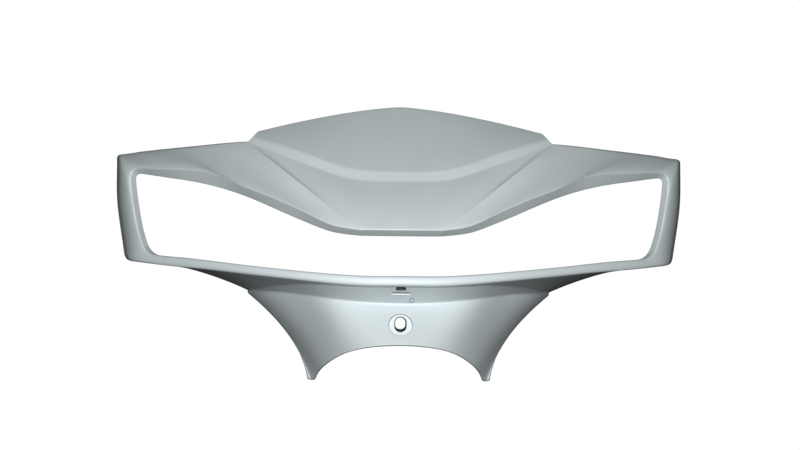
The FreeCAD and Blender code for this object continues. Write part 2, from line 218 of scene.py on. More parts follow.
class Panel:
    """Smooth surface through rows, from the first row (v = 0) to the last (v = 1).

    STEP is the change of a parameter over which slopes are measured. A search for a place on the panel
    takes SEARCH_ROUNDS rounds, each of which moves by SEARCH_REACH at most along and across.
    """

    STEP = 1e-4
    SEARCH_ROUNDS = 12
    SEARCH_REACH = (0.1, 0.2)

    def __init__(self, rows: list[Row], facing: np.ndarray | None = None, probe: int = 0) -> None:
        """Fit the panel.

        Args:
            rows: Two rows for a straight section or four for a curved one.
            facing: Rough outward direction at the probe point, where normals are wanted.
            probe: Index of the probe point on the first row.
        """
        self.rows = rows
        self.curves = [r.curve() for r in rows]
        self.across = np.linspace(0.0, 1.0, len(rows))
        self.sign = 1.0
        if facing is not None:
            t = np.array([rows[0].params[probe]])
            self.sign = math.copysign(1.0, float(self.normals(t, np.zeros(1))[0] @ facing))

    def at(self, u: np.ndarray, v: np.ndarray) -> np.ndarray:
        """Find points of the panel.

        Args:
            u: Their parameters along.
            v: Their parameters across, in the same layout.

        Returns:
            The points, with xyz last.
        """
        out = np.zeros(np.shape(u) + (3,))
        for i, curve in enumerate(self.curves):
            weight = np.ones(np.shape(v))
            for j, other in enumerate(self.across):
                if j != i:
                    weight = weight * (v - other) / (self.across[i] - other)
            out += weight[..., None] * curve.at(u)
        return out

    def normals(self, u: np.ndarray, v: np.ndarray) -> np.ndarray:
        """Find outward unit normals of the panel.

        Args:
            u: Parameters along.
            v: Parameters across, in the same layout.

        Returns:
            The normals, with xyz last.
        """
        h = self.STEP
        low = max(self.curves[0].t[0], -1.0)
        a, b = np.clip(u - h, low, 1.0), np.clip(u + h, low, 1.0)
        along = self.at(b, v) - self.at(a, v)
        over = self.at(u, v + h) - self.at(u, v - h)
        return unit(np.cross(along, over)) * self.sign

    def locate(self, x: np.ndarray, s: np.ndarray, up: np.ndarray, origin: np.ndarray,
               u: np.ndarray, v: np.ndarray) -> np.ndarray:
        """Find the points of the panel that lie at given places in a flat view.

        Args:
            x: Wanted x of each point.
            s: Wanted distance of each point from origin along up.
            up: Upward direction of the view.
            origin: Point that the distances start from.
            u: First guess of the parameter along, for each point.
            v: First guess of the parameter across.

        Returns:
            The points, one a row.
        """
        h = self.STEP
        reach_u, reach_v = self.SEARCH_REACH
        for _ in range(self.SEARCH_ROUNDS):
            p = self.at(u, v)
            du = (self.at(u + h, v) - p) / h
            dv = (self.at(u, v + h) - p) / h
            e, f = p[:, 0] - x, (p - origin) @ up - s
            a, b, c, d = du[:, 0], dv[:, 0], du @ up, dv @ up
            det = a * d - b * c
            u = u - np.clip((d * e - b * f) / det, -reach_u, reach_u)
            v = v - np.clip((a * f - c * e) / det, -reach_v, reach_v)
        return self.at(u, v)


class CreasePanel(Panel):
    """Panel beside the snout's crease, where the wing's edge is a low ridge that fades at both ends.

    RIDGE is its height in millimetres. Across the panel, it begins at START, is whole after RISE more
    and runs out over the last FALL.
    """

    RIDGE = 2.0
    START = 0.25
    RISE = 0.45
    FALL = 0.18

    def shift(self, u: np.ndarray, v: np.ndarray) -> np.ndarray:
        """Return the share of the ridge's height at pairs of parameters along and across."""
        raise NotImplementedError

    def at(self, u: np.ndarray, v: np.ndarray) -> np.ndarray:
        """Return the points at pairs of parameters along and across."""
        ends = smooth((v - self.START) / self.RISE) * smooth((1 - v) / self.FALL)
        return super().at(u, v) - (self.RIDGE * self.shift(u, v) * ends)[..., None] * vec(0, 1, 0)


class SnoutPanel(CreasePanel):
    """The steep side of the ridge, NEAR wide at the lip and WIDEN more at the band, as shares along."""

    NEAR = 0.04
    WIDEN = 0.07

    def shift(self, u: np.ndarray, v: np.ndarray) -> np.ndarray:
        """Return the share of the ridge's height at pairs of parameters along and across."""
        return np.clip(1 - (1 - np.abs(u)) / (self.NEAR + self.WIDEN * v), 0, 1) ** 2


class WingPanel(CreasePanel):
    """The gentle side of the ridge, which runs out on the wing over REACH, as a share along."""

    REACH = 0.16

    def shift(self, u: np.ndarray, v: np.ndarray) -> np.ndarray:
        """Return the share of the ridge's height at pairs of parameters along and across."""
        return np.clip(1 - u / self.REACH, 0, 1) ** 2


@dataclass(frozen=True)
class CoverLines:
    """Sizes and feature lines of the shell; lines run from the middle, or from the hood, to the end.

    Pairs are (x, z) as seen from the front and triples (x, y, z), all on the right half. A line of pairs
    takes its depth from the lens surface, a smooth swept sheet in the lamp's front, and a set-back behind
    it. A corner is the point where the tangents of a rounded corner meet. A bulge is how far the middle
    of a panel stands out in front of a straight section. The falls are how much of the step from the
    frame's set-back to the rim's is made round the lower corner and then along the rim. HALF, LOW and
    CORNER are the shares of a line at which its points are taken.
    """

    wall: float = 2.3
    edge_return: float = 14.0
    hood_foot_return: float = 6.0
    flange_depth: float = 8.0
    band_foot_setback: float = 20.8
    wing_setback: float = 24.7
    tip_setback: float = 13.0
    frame_setback: float = 5.2
    rim_setback: float = 0.8
    band_step: float = 3.0
    nose_radius: float = 208.5
    sweep_reach: float = 450.0
    lens_lean: float = 0.22
    hood_top: Pair = (90.0, 128.0)
    hood_corner: Triple = (105.0, 82.0, 109.2)
    hood_bow: float = 1.45
    crown_bulge: float = 1.3
    snout_bulge: float = 1.7
    crease_bulge: float = 5.0
    wing_bulge: float = 3.8
    rim_bulge: float = 0.8
    neck_waist: float = 8.0
    rim_top_z: float = 3.3
    crease_end_x: float = 31.0
    neck_end_x: float = 120.0
    soft_corner: float = 0.67
    sharp_corner: float = 0.86
    window_low_step: float = 3.0
    back_rise: float = 0.5
    hood_foot: Pair = (112.9, 101.0)
    band_top: tuple[Pair, ...] = ((0, 80), (12, 80), (35.5, 81.8), (58.8, 88.6), (74.4, 94.3),
                                  (89.9, 99.2), (108.9, 105.1))
    band_foot: tuple[Pair, ...] = ((0, 72.5), (12, 72.5), (35.5, 74), (58.8, 80.8), (89.9, 92.2),
                                   hood_foot)
    lip_top: tuple[Pair, ...] = ((0, 37), (12.5, 37), (25, 37), (39.2, 37.4), (51, 40.5), (74.4, 51.2),
                                 (97.7, 61.2), (121, 70.3), (136.7, 77), (146, 79), (167.8, 80.3), (191, 81))
    lip_corner_up: Pair = (199.3, 81.2)
    lip_side: tuple[Pair, ...] = ((198.8, 73.5), (196.5, 52), (191.2, 29))
    lip_corner_low: Pair = (188.2, 17)
    rim_top: tuple[Pair, ...] = ((0, rim_top_z), (44.4, 4.1), (88.8, 7.8), (122, 11.2), (155.4, 14.8),
                                 (177, 16.5))
    window_top: tuple[Pair, ...] = ((0, 32.2), (12.5, 32.2), (25, 32.3), (44.4, 33.7), (55.5, 36.6),
                                    (66.6, 40.7), (88.8, 50), (111, 59.5), (133, 66.8), (144.3, 69.6),
                                    (166.5, 73.3), (190, 76.6))
    window_corner_up: Pair = (195.2, 77.4)
    window_side: tuple[Pair, ...] = ((194.6, 72), (192.4, 54), (189.8, 40), (186.2, 27))
    window_corner_low: Pair = (182.9, 16.8)
    wing_top: tuple[Pair, ...] = (hood_foot, (133, 99.4), (155.4, 97), (177.6, 94.7), (203.4, 91.3))
    tip_corner_up: Pair = (207.7, 90.8)
    frame_side: tuple[Pair, ...] = ((207.4, 86.6), (205.7, 53), (203, 35.5), (200.7, 18.5))
    tip_corner_low: Pair = (199.9, 12.4)
    rim_foot: tuple[Pair, ...] = ((0, -4.1), (44.4, -3), (88.8, 1.2), (120, 4.4), (145, 7), (167, 8.8),
                                  (194.2, 11.75))
    back_side: tuple[Pair, ...] = ((209.3, 86.6), (208.4, 53), (206.2, 35.5), (203.75, 20.5))
    back_corner_up: Pair = (209.6, 91.3)
    back_corner_low: Pair = (202.7, 12.2)
    neck_corner: Triple = (111.5, 98, -8.5)
    back_low: tuple[Triple, ...] = ((193, 100, 11.8), (167, 99, 9.2), (145, 98.5, 4.4), (123, 98.2, -4.4),
                                    neck_corner)
    neck_root: tuple[Triple, ...] = ((0, 4.3, -5), (24, 6, -4.8), (52, 12, -3.9), (80, 37, -3.6),
                                     (100, 66, -6.5), neck_corner)
    neck_valley: tuple[Triple, ...] = ((0, 17, -17), (24, 18.3, -16.2), (54, 27, -13.2), (81.4, 52, -9.9),
                                       (101, 74, -8.8), (111.7, 98, -10.5))
    neck_arch: tuple[Triple, ...] = ((0, 0, -47), (16, 2, -47.9), (33, 9.3, -51), (47, 23, -56.7),
                                     (57.5, 41, -64.5), (62.3, 56, -71.4), (64.7, 61.2, -73.9),
                                     (66.7, 62.6, -72.5))
    corner_fall: float = 0.7
    rim_fall: tuple[float, ...] = (0.74, 0.95, 1.0, 1.0)

    HALF = np.array([0.0, 0.1, 0.22, 0.35, 0.48, 0.61, 0.74, 0.87, 1.0])
    LOW = np.array([0.0, 0.2, 0.4, 0.58, 0.73, 0.84, 0.92, 0.97, 1.0])
    CORNER = np.array([0.2, 0.36, 0.5, 0.64, 0.8])
    TOP_COUNT = 10
    SIDE_COUNT = 4

    def lens_y(self, x: np.ndarray, z: np.ndarray) -> np.ndarray:
        """Return the depth of the lens surface at places seen from the front."""
        sweep = x * x / (2 * self.nose_radius) / (1 + (x / self.sweep_reach) ** 2)
        return sweep + self.lens_lean * (z - self.rim_top_z)

    def on_lens(self, flat: np.ndarray, setback: np.ndarray | float) -> np.ndarray:
        """Return flat points moved to the lens surface plus a set-back."""
        return np.column_stack([flat[:, 0], self.lens_y(flat[:, 0], flat[:, 2]) + setback, flat[:, 2]])

    def hood_lines(self) -> list[np.ndarray]:
        """Lay out the hood's lines.

        Returns:
            The right halves of crown edge, band top, band foot, lip and window edge.
        """
        s = self.HALF
        (top_y, top_z), (x, y, z) = self.hood_top, self.hood_corner
        fall = (top_z - z) * s ** self.hood_bow
        lines = [np.column_stack([x * s, top_y + (y - top_y) * s * s, top_z - fall])]
        for points, lean in ((self.band_top, self.band_step), (self.band_foot, 0.0)):
            flat = FeatureLine(points).shares(s)
            grow = (self.wing_setback - self.band_foot_setback) * (flat[:, 0] / self.hood_foot[0]) ** 2
            lines.append(self.on_lens(flat, self.band_foot_setback + lean + grow))
        for points, step in ((self.lip_top, 0.0), (self.window_top, self.flange_depth)):
            lines.append(self.on_lens(FeatureLine(points).between(0, self.crease_end_x, s), step))
        return lines

    def ring(self, top: np.ndarray, up: Pair, side: np.ndarray, down: Pair, low: np.ndarray,
             pull: float) -> np.ndarray:
        """Return flat points round the right side: top, corner, side, corner, bottom."""
        return np.concatenate([top, self.corner(top[-1], up, side[0], pull), side,
                               self.corner(side[-1], down, low[0], pull), low])

    def corner(self, a: np.ndarray, q: Pair, b: np.ndarray, pull: float) -> np.ndarray:
        """Round a corner.

        Args:
            a: Start of the round.
            q: Point where its tangents meet.
            b: Its end.
            pull: Share of the way there that its handles reach.

        Returns:
            The points between start and end.
        """
        tip = vec(q[0], 0, q[1])
        c, d = a + (tip - a) * pull, b + (tip - b) * pull
        t = self.CORNER[:, None]
        return a * (1 - t) ** 3 + c * 3 * t * (1 - t) ** 2 + d * 3 * t * t * (1 - t) + b * t ** 3

    def ring_lines(self) -> list[np.ndarray]:
        """Lay out the lines round the right side, from the snout's crease to the neck.

        Returns:
            Lip, window edge, outer edge and rear edge.
        """
        ends = np.linspace(0, 1, self.SIDE_COUNT)
        tops = np.linspace(0, 1, self.TOP_COUNT)
        rim, foot = FeatureLine(self.rim_top), FeatureLine(self.rim_foot)
        low = rim.between(self.rim_top[-1][0], self.neck_end_x, ends)
        lip_top, window_top = FeatureLine(self.lip_top), FeatureLine(self.window_top)
        lip = self.ring(lip_top.between(self.crease_end_x, self.lip_top[-1][0], tops), self.lip_corner_up,
                        FeatureLine(self.lip_side).shares(ends), self.lip_corner_low, low, self.soft_corner)
        low = low - np.outer(self.window_low_step * (1 - ends), vec(1, 0, 0))
        window = self.ring(window_top.between(self.crease_end_x, self.window_top[-1][0], tops),
                           self.window_corner_up, FeatureLine(self.window_side).shares(ends),
                           self.window_corner_low, low, self.soft_corner)
        top = FeatureLine(self.wing_top).shares(tops)
        low = foot.between(self.rim_foot[-1][0], self.neck_end_x, ends)
        outer = self.ring(top, self.tip_corner_up, FeatureLine(self.frame_side).shares(ends),
                          self.tip_corner_low, low, self.sharp_corner)
        fall = np.concatenate([self.corner_fall * self.CORNER, self.rim_fall])
        setback = np.concatenate([
            self.wing_setback + (self.tip_setback - self.wing_setback) * tops,
            self.tip_setback + (self.frame_setback - self.tip_setback) * self.CORNER,
            np.full(self.SIDE_COUNT, self.frame_setback),
            self.frame_setback + (self.rim_setback - self.frame_setback) * fall])
        outer = self.on_lens(outer, setback)
        low = FeatureLine(self.back_low).shares(ends)
        rear = self.ring(top + vec(0, 0, self.back_rise), self.back_corner_up,
                         FeatureLine(self.back_side).shares(ends), self.back_corner_low,
                         low * vec(1, 0, 1), self.sharp_corner)
        depth = np.full(len(rear) - self.SIDE_COUNT, self.edge_return)
        depth[:self.TOP_COUNT] = self.hood_foot_return + (self.edge_return - self.hood_foot_return) * tops
        rear[:len(depth), 1] = outer[:len(depth), 1] + depth
        rear[len(depth):] = low
        return [self.on_lens(lip, 0.0), self.on_lens(window, self.flange_depth), outer, rear]

    def low_lines(self) -> list[np.ndarray]:
        """Lay out the lines of rim and neck.

        Returns:
            The right halves of rim top, window edge, rim foot, neck root, valley and arch.
        """
        top, foot = (self.on_lens(FeatureLine(points).between(0, self.neck_end_x, self.LOW), setback)
                     for points, setback in ((self.rim_top, 0.0), (self.rim_foot, self.rim_setback)))
        rest = [FeatureLine(p).shares(self.LOW) for p in (self.neck_root, self.neck_valley, self.neck_arch)]
        return [top, top + vec(0, self.flange_depth, 0), foot] + rest

    @staticmethod
    def swell(first: np.ndarray, last: np.ndarray, push: np.ndarray) -> list[np.ndarray]:
        """Return four lines from first to last, the middle ones moved by a push for each point."""
        return [first + (last - first) * v + push * (4 * v * (1 - v)) for v in (0.0, 1 / 3, 2 / 3, 1.0)]


class CoverNet:
    """Outer panels of the right half and the inner skin one wall behind them.

    The bulge of hood and snout fades by FADE_POWER towards the crease, the wing's bulge settles over
    1 / WING_RISE of its length, and the neck's waist grows by WAIST_POWER. PROBE is the point of a
    ring row at which its facing is known. HOLD keeps the step to the inner skin short where panels
    meet almost flat. Points that agree to KEY_DIGITS digits are one.
    """

    FADE_POWER = 4
    WING_RISE = 2.5
    WAIST_POWER = 3
    PROBE = 5
    HOLD = 0.02
    KEY_DIGITS = 3

    def __init__(self, lines: CoverLines) -> None:
        """Lay the panels out along the feature lines.

        Args:
            lines: Sizes and feature lines of the shell.
        """
        self.lines = lines
        crown, band, foot, lip_mid, window_mid = lines.hood_lines()
        lip, window, outer, rear = lines.ring_lines()
        rim, window_low, rim_low, root, valley, arch = lines.low_lines()
        front = vec(0, -1, 0)
        half, low = lines.HALF, lines.LOW
        fade = np.outer(1 - half ** self.FADE_POWER, front)
        hood = lines.swell(crown, band, lines.crown_bulge * fade)
        crease = np.outer(np.full(len(half), lines.crease_bulge), front)
        snout = lines.swell(foot, lip_mid, crease + (lines.snout_bulge - lines.crease_bulge) * fade)
        steps = np.linalg.norm(np.diff(lip, axis=0), axis=1) + np.linalg.norm(np.diff(outer, axis=0), axis=1)
        along = np.concatenate([[0.0], np.cumsum(steps)]) / steps.sum()
        rise = np.minimum(1.0, self.WING_RISE * along)
        bulge = (lines.crease_bulge + (lines.wing_bulge - lines.crease_bulge) * rise
                 + (lines.rim_bulge - lines.wing_bulge) * along)
        wing = lines.swell(lip, outer, np.outer(bulge, front))
        rim_body = lines.swell(rim, rim_low, np.outer(np.full(len(low), lines.rim_bulge), front))
        waist = np.outer(-lines.neck_waist * low ** self.WAIST_POWER, vec(1, 0, 0))
        neck = lines.swell(valley, arch, waist)

        def mid(points: np.ndarray, params: np.ndarray, after: np.ndarray | None = None) -> Row:
            """Return a row that crosses the middle."""
            return Row(points, params, None, after, True)

        hood_rows = [mid(p, half) for p in hood]
        foot_row = mid(foot, half)
        lip_row = mid(lip_mid, half, lip[1])
        snout_rows = [foot_row] + [mid(p, half) for p in snout[1:3]] + [lip_row]
        starts = [lip_mid[-2], None, None, None]
        wing_rows = [Row(p, along, b, r[-2]) for p, b, r in zip(wing, starts, rim_body)]
        rim_rows = [mid(p, low, w[-2]) for p, w in zip(rim_body, wing)]
        window_rows = [mid(window_mid, half, window[1]), Row(window, along, window_mid[-2], window_low[-2]),
                       mid(window_low, low, window[-2])]
        root_row = mid(root, low)
        neck_rows = [mid(p, low) for p in neck]
        up, down, chin = vec(0, -1, 1), vec(0, 0, -1), vec(0, -1, -1)
        self.along = along
        self.hood = [Panel([window_rows[0], lip_row], down), SnoutPanel(snout_rows[::-1], up),
                     Panel([foot_row, hood_rows[3]], up), Panel(hood_rows[::-1], up)]
        self.ring = [Panel([window_rows[1], wing_rows[0]], down, self.PROBE),
                     WingPanel(wing_rows, up, self.PROBE),
                     Panel([wing_rows[3], Row(rear, along)], vec(0, 0, 1), self.PROBE)]
        self.low = [Panel([window_rows[2], rim_rows[0]], vec(0, 0, 1)), Panel(rim_rows, front),
                    Panel([rim_rows[3], root_row], down), Panel([root_row, neck_rows[0]], chin),
                    Panel(neck_rows, front)]
        self.steps = self.inward_steps()

    @classmethod
    def key(cls, p: np.ndarray) -> tuple[float, ...]:
        """Return a point as a key that touching panels share."""
        return tuple(np.round(p, cls.KEY_DIGITS) + 0.0)

    def inward_steps(self) -> dict[tuple[float, ...], np.ndarray]:
        """Find the inner skin, one wall behind every panel that meets at a point.

        Returns:
            The step to it from each row point, by the point's key.
        """
        normals: dict[tuple[float, ...], list[np.ndarray]] = {}
        panels = self.hood + self.ring + self.low
        for panel in panels:
            for row, v in ((panel.rows[0], 0.0), (panel.rows[-1], 1.0)):
                for p, n in zip(row.points, panel.normals(row.params, np.full(len(row.params), v))):
                    normals.setdefault(self.key(p), []).append(n)
        out = {}
        for k, found in normals.items():
            n = np.array(found)
            lhs = n.T @ n + self.HOLD * np.eye(3)
            out[k] = np.linalg.solve(lhs, -self.lines.wall * (n.sum(0) + self.HOLD * unit(n.sum(0))))
        for panel in panels:
            for row, v in list(zip(panel.rows, panel.across))[1:-1]:
                for p, a, b in zip(row.points, panel.rows[0].points, panel.rows[-1].points):
                    out[self.key(p)] = out[self.key(a)] * (1 - v) + out[self.key(b)] * v
        return out

    def inner(self, panel: Panel) -> Panel:
        """Return the inner side of a panel."""
        return type(panel)([self.inner_row(r) for r in panel.rows])

    def inner_row(self, row: Row) -> Row:
        """Move a row one wall behind.

        Args:
            row: Row of an outer panel.

        Returns:
            Its inner side.
        """
        def behind(p: np.ndarray | None) -> np.ndarray | None:
            """Return a point moved one wall behind."""
            return None if p is None else p + self.steps[self.key(p)]
        return Row(np.array([behind(p) for p in row.points]), row.params, behind(row.before),
                   behind(row.after), row.symmetric)


class Skin(Enum):
    """Which finish a face of the shell carries, as its material slot."""

    PAINT = 0
    BARE = 1


class Change(Enum):
    """What a solid does to a piece, as the operation of a boolean modifier."""

    JOIN = "UNION"
    CUT = "DIFFERENCE"


def arc(a: np.ndarray, tip: np.ndarray, b: np.ndarray, steps: int) -> list[np.ndarray]:
    """Draw a round.

    Args:
        a: Its start.
        tip: Point where its tangents meet.
        b: Its end.
        steps: How many points lie between start and end.

    Returns:
        Those points.
    """
    out = []
    for t in np.arange(1, steps + 1) / (steps + 1):
        out.append(a * (1 - t) ** 2 + tip * 2 * t * (1 - t) + b * t * t)
    return out


@dataclass
class Branch:
    """Stretch of the shell with one closed section at each station.

    A section runs from the window's edge over the outer panels to the free edge, round it, back over
    the inner panels and round the window's edge. A round takes ROUND_SHARE of a panel's width at most,
    which is measured over WIDTH_POINTS points.

    Attributes:
        outer: Outer panels from the window's edge outwards.
        inner: Their inner sides.
        stations: Parameter of each section.
        counts: Points across each panel.
        creases: Reach of the round at each outer crease, one value a station.
        inner_creases: The same inside.
        edge: Reach of the rounds along the free edge, one value a station.
        window_edge: The same along the window's edge.
    """

    outer: list[Panel]
    inner: list[Panel]
    stations: np.ndarray
    counts: list[int]
    creases: list[np.ndarray]
    inner_creases: list[np.ndarray]
    edge: np.ndarray
    window_edge: np.ndarray

    CREASE_STEPS = 5
    EDGE_STEPS = 3
    STRIP_COUNT = 2
    ROUND_SHARE = 0.42
    WIDTH_POINTS = 9

    @property
    def outer_size(self) -> int:
        """Number of section points on the outer side."""
        return sum(self.counts) + (len(self.counts) - 1) * self.CREASE_STEPS

    @property
    def edge_size(self) -> int:
        """Number of section points round a free edge."""
        return self.STRIP_COUNT + 2 * self.EDGE_STEPS

    @property
    def size(self) -> int:
        """Number of points of a section."""
        return 2 * (self.outer_size + self.edge_size)

    def start_of(self, run: int) -> int:
        """Return the section index of the first point of an outer panel."""
        return sum(self.counts[:run]) + run * self.CREASE_STEPS

    def partner(self, k: int) -> int:
        """Return the inner section index that faces an outer one."""
        return 2 * self.outer_size + self.edge_size - 1 - k

    def skin_of(self, k: int) -> Skin:
        """Return the finish of the face that starts at a section index."""
        inside = self.outer_size + self.edge_size - 1 <= k < 2 * self.outer_size + self.edge_size
        return Skin.BARE if inside else Skin.PAINT

    def sections(self) -> np.ndarray:
        """Lay out every section.

        Returns:
            The points as stations by section index by xyz.
        """
        panels = self.outer + [Panel([self.outer[-1].rows[-1], self.inner[-1].rows[-1]])]
        panels += self.inner[::-1] + [Panel([self.inner[0].rows[0], self.outer[0].rows[0]])]
        back = [False] * (len(self.outer) + 1) + [True] * len(self.inner) + [False]
        counts = self.counts + [self.STRIP_COUNT] + self.counts[::-1] + [self.STRIP_COUNT]
        rounds = self.creases + [self.edge] * 2 + self.inner_creases[::-1] + [self.window_edge] * 2
        steps = [self.CREASE_STEPS] * len(self.creases) + [self.EDGE_STEPS] * 2
        u = self.stations[:, None]

        def points(run: int, v: np.ndarray) -> np.ndarray:
            """Return the points of a run at shares across, one row a station."""
            return panels[run].at(np.broadcast_to(u, v.shape), 1 - v if back[run] else v)

        even = np.broadcast_to(np.linspace(0, 1, self.WIDTH_POINTS), (len(u), self.WIDTH_POINTS))
        length = [np.linalg.norm(np.diff(points(i, even), axis=1), axis=2).sum(1)
                  for i in range(len(panels))]
        for i in range(len(panels)):
            room = self.ROUND_SHARE * np.minimum(length[i], length[(i + 1) % len(panels)])
            rounds[i] = np.minimum(rounds[i], room)
        parts = []
        for i, count in enumerate(counts):
            after = (i + 1) % len(panels)
            low, high = rounds[i - 1] / length[i], 1 - rounds[i] / length[i]
            grid = points(i, low[:, None] + (high - low)[:, None] * np.linspace(0, 1, count))
            tip = points(i, np.ones((len(u), 1)))[:, 0]
            end = points(after, (rounds[i] / length[after])[:, None])[:, 0]
            parts.append(grid)
            parts.append(np.stack(arc(grid[:, -1], tip, end, (steps * 2)[i]), axis=1))
        return np.concatenate(parts, axis=1)


class Skins:
    """Points and faces of a mesh as they are gathered."""

    def __init__(self) -> None:
        """Start empty."""
        self.points: list[np.ndarray] = []
        self.count = 0
        self.faces: list[tuple[int, ...]] = []
        self.skins: list[int] = []

    def add(self, points: np.ndarray) -> np.ndarray:
        """Add points.

        Args:
            points: Points in any layout, with xyz last.

        Returns:
            Their indices in the same layout.
        """
        flat = points.reshape(-1, 3)
        index = np.arange(self.count, self.count + len(flat)).reshape(points.shape[:-1])
        self.points.append(flat)
        self.count += len(flat)
        return index

    def face(self, corners: list[int], skin: Skin) -> None:
        """Add one face."""
        self.faces.append(tuple(int(c) for c in corners))
        self.skins.append(skin.value)

    def strip(self, a: np.ndarray, b: np.ndarray, skin: Skin, closed: bool = False) -> None:
        """Add the faces between two lines of points.

        Args:
            a: Point indices of the first line.
            b: Those of the second.
            skin: Finish of the faces.
            closed: Whether the last points join the first.
        """
        count = len(a)
        for j in range(count if closed else count - 1):
            k = (j + 1) % count
            self.face([a[j], a[k], b[k], b[j]], skin)

    def mirror(self) -> None:
        """Add the left half as a mirror image."""
        right, offset = np.concatenate(self.points), self.count
        self.add(flip(right))
        self.faces += [tuple(c + offset for c in reversed(f)) for f in self.faces]
        self.skins += list(self.skins)

    def mesh(self, name: str, origin: np.ndarray, weld: float = 0.004) -> bpy.types.Mesh:
        """Make the mesh.

        Args:
            name: Name of the mesh.
            origin: Lamp coordinates of the part's origin.
            weld: Points closer than this, in millimetres, become one.

        Returns:
            A mesh in metres in the part's frame, with its faces turned outwards.
        """
        made = bpy.data.meshes.new(name)
        made.from_pydata(((np.concatenate(self.points) - origin) * MM).tolist(), [], self.faces)
        made.polygons.foreach_set("material_index", np.array(self.skins, np.int32))
        work = bmesh.new()
        work.from_mesh(made)
        bmesh.ops.remove_doubles(work, verts=work.verts, dist=weld * MM)
        bmesh.ops.dissolve_degenerate(work, edges=work.edges, dist=weld * MM * 0.5)
        bmesh.ops.recalc_face_normals(work, faces=work.faces)
        open_edges = sum(1 for e in work.edges if len(e.link_faces) != 2)
        log.info("%s: %d faces, %d open edges", name, len(work.faces), open_edges)
        work.to_mesh(made)
        work.free()
        return made


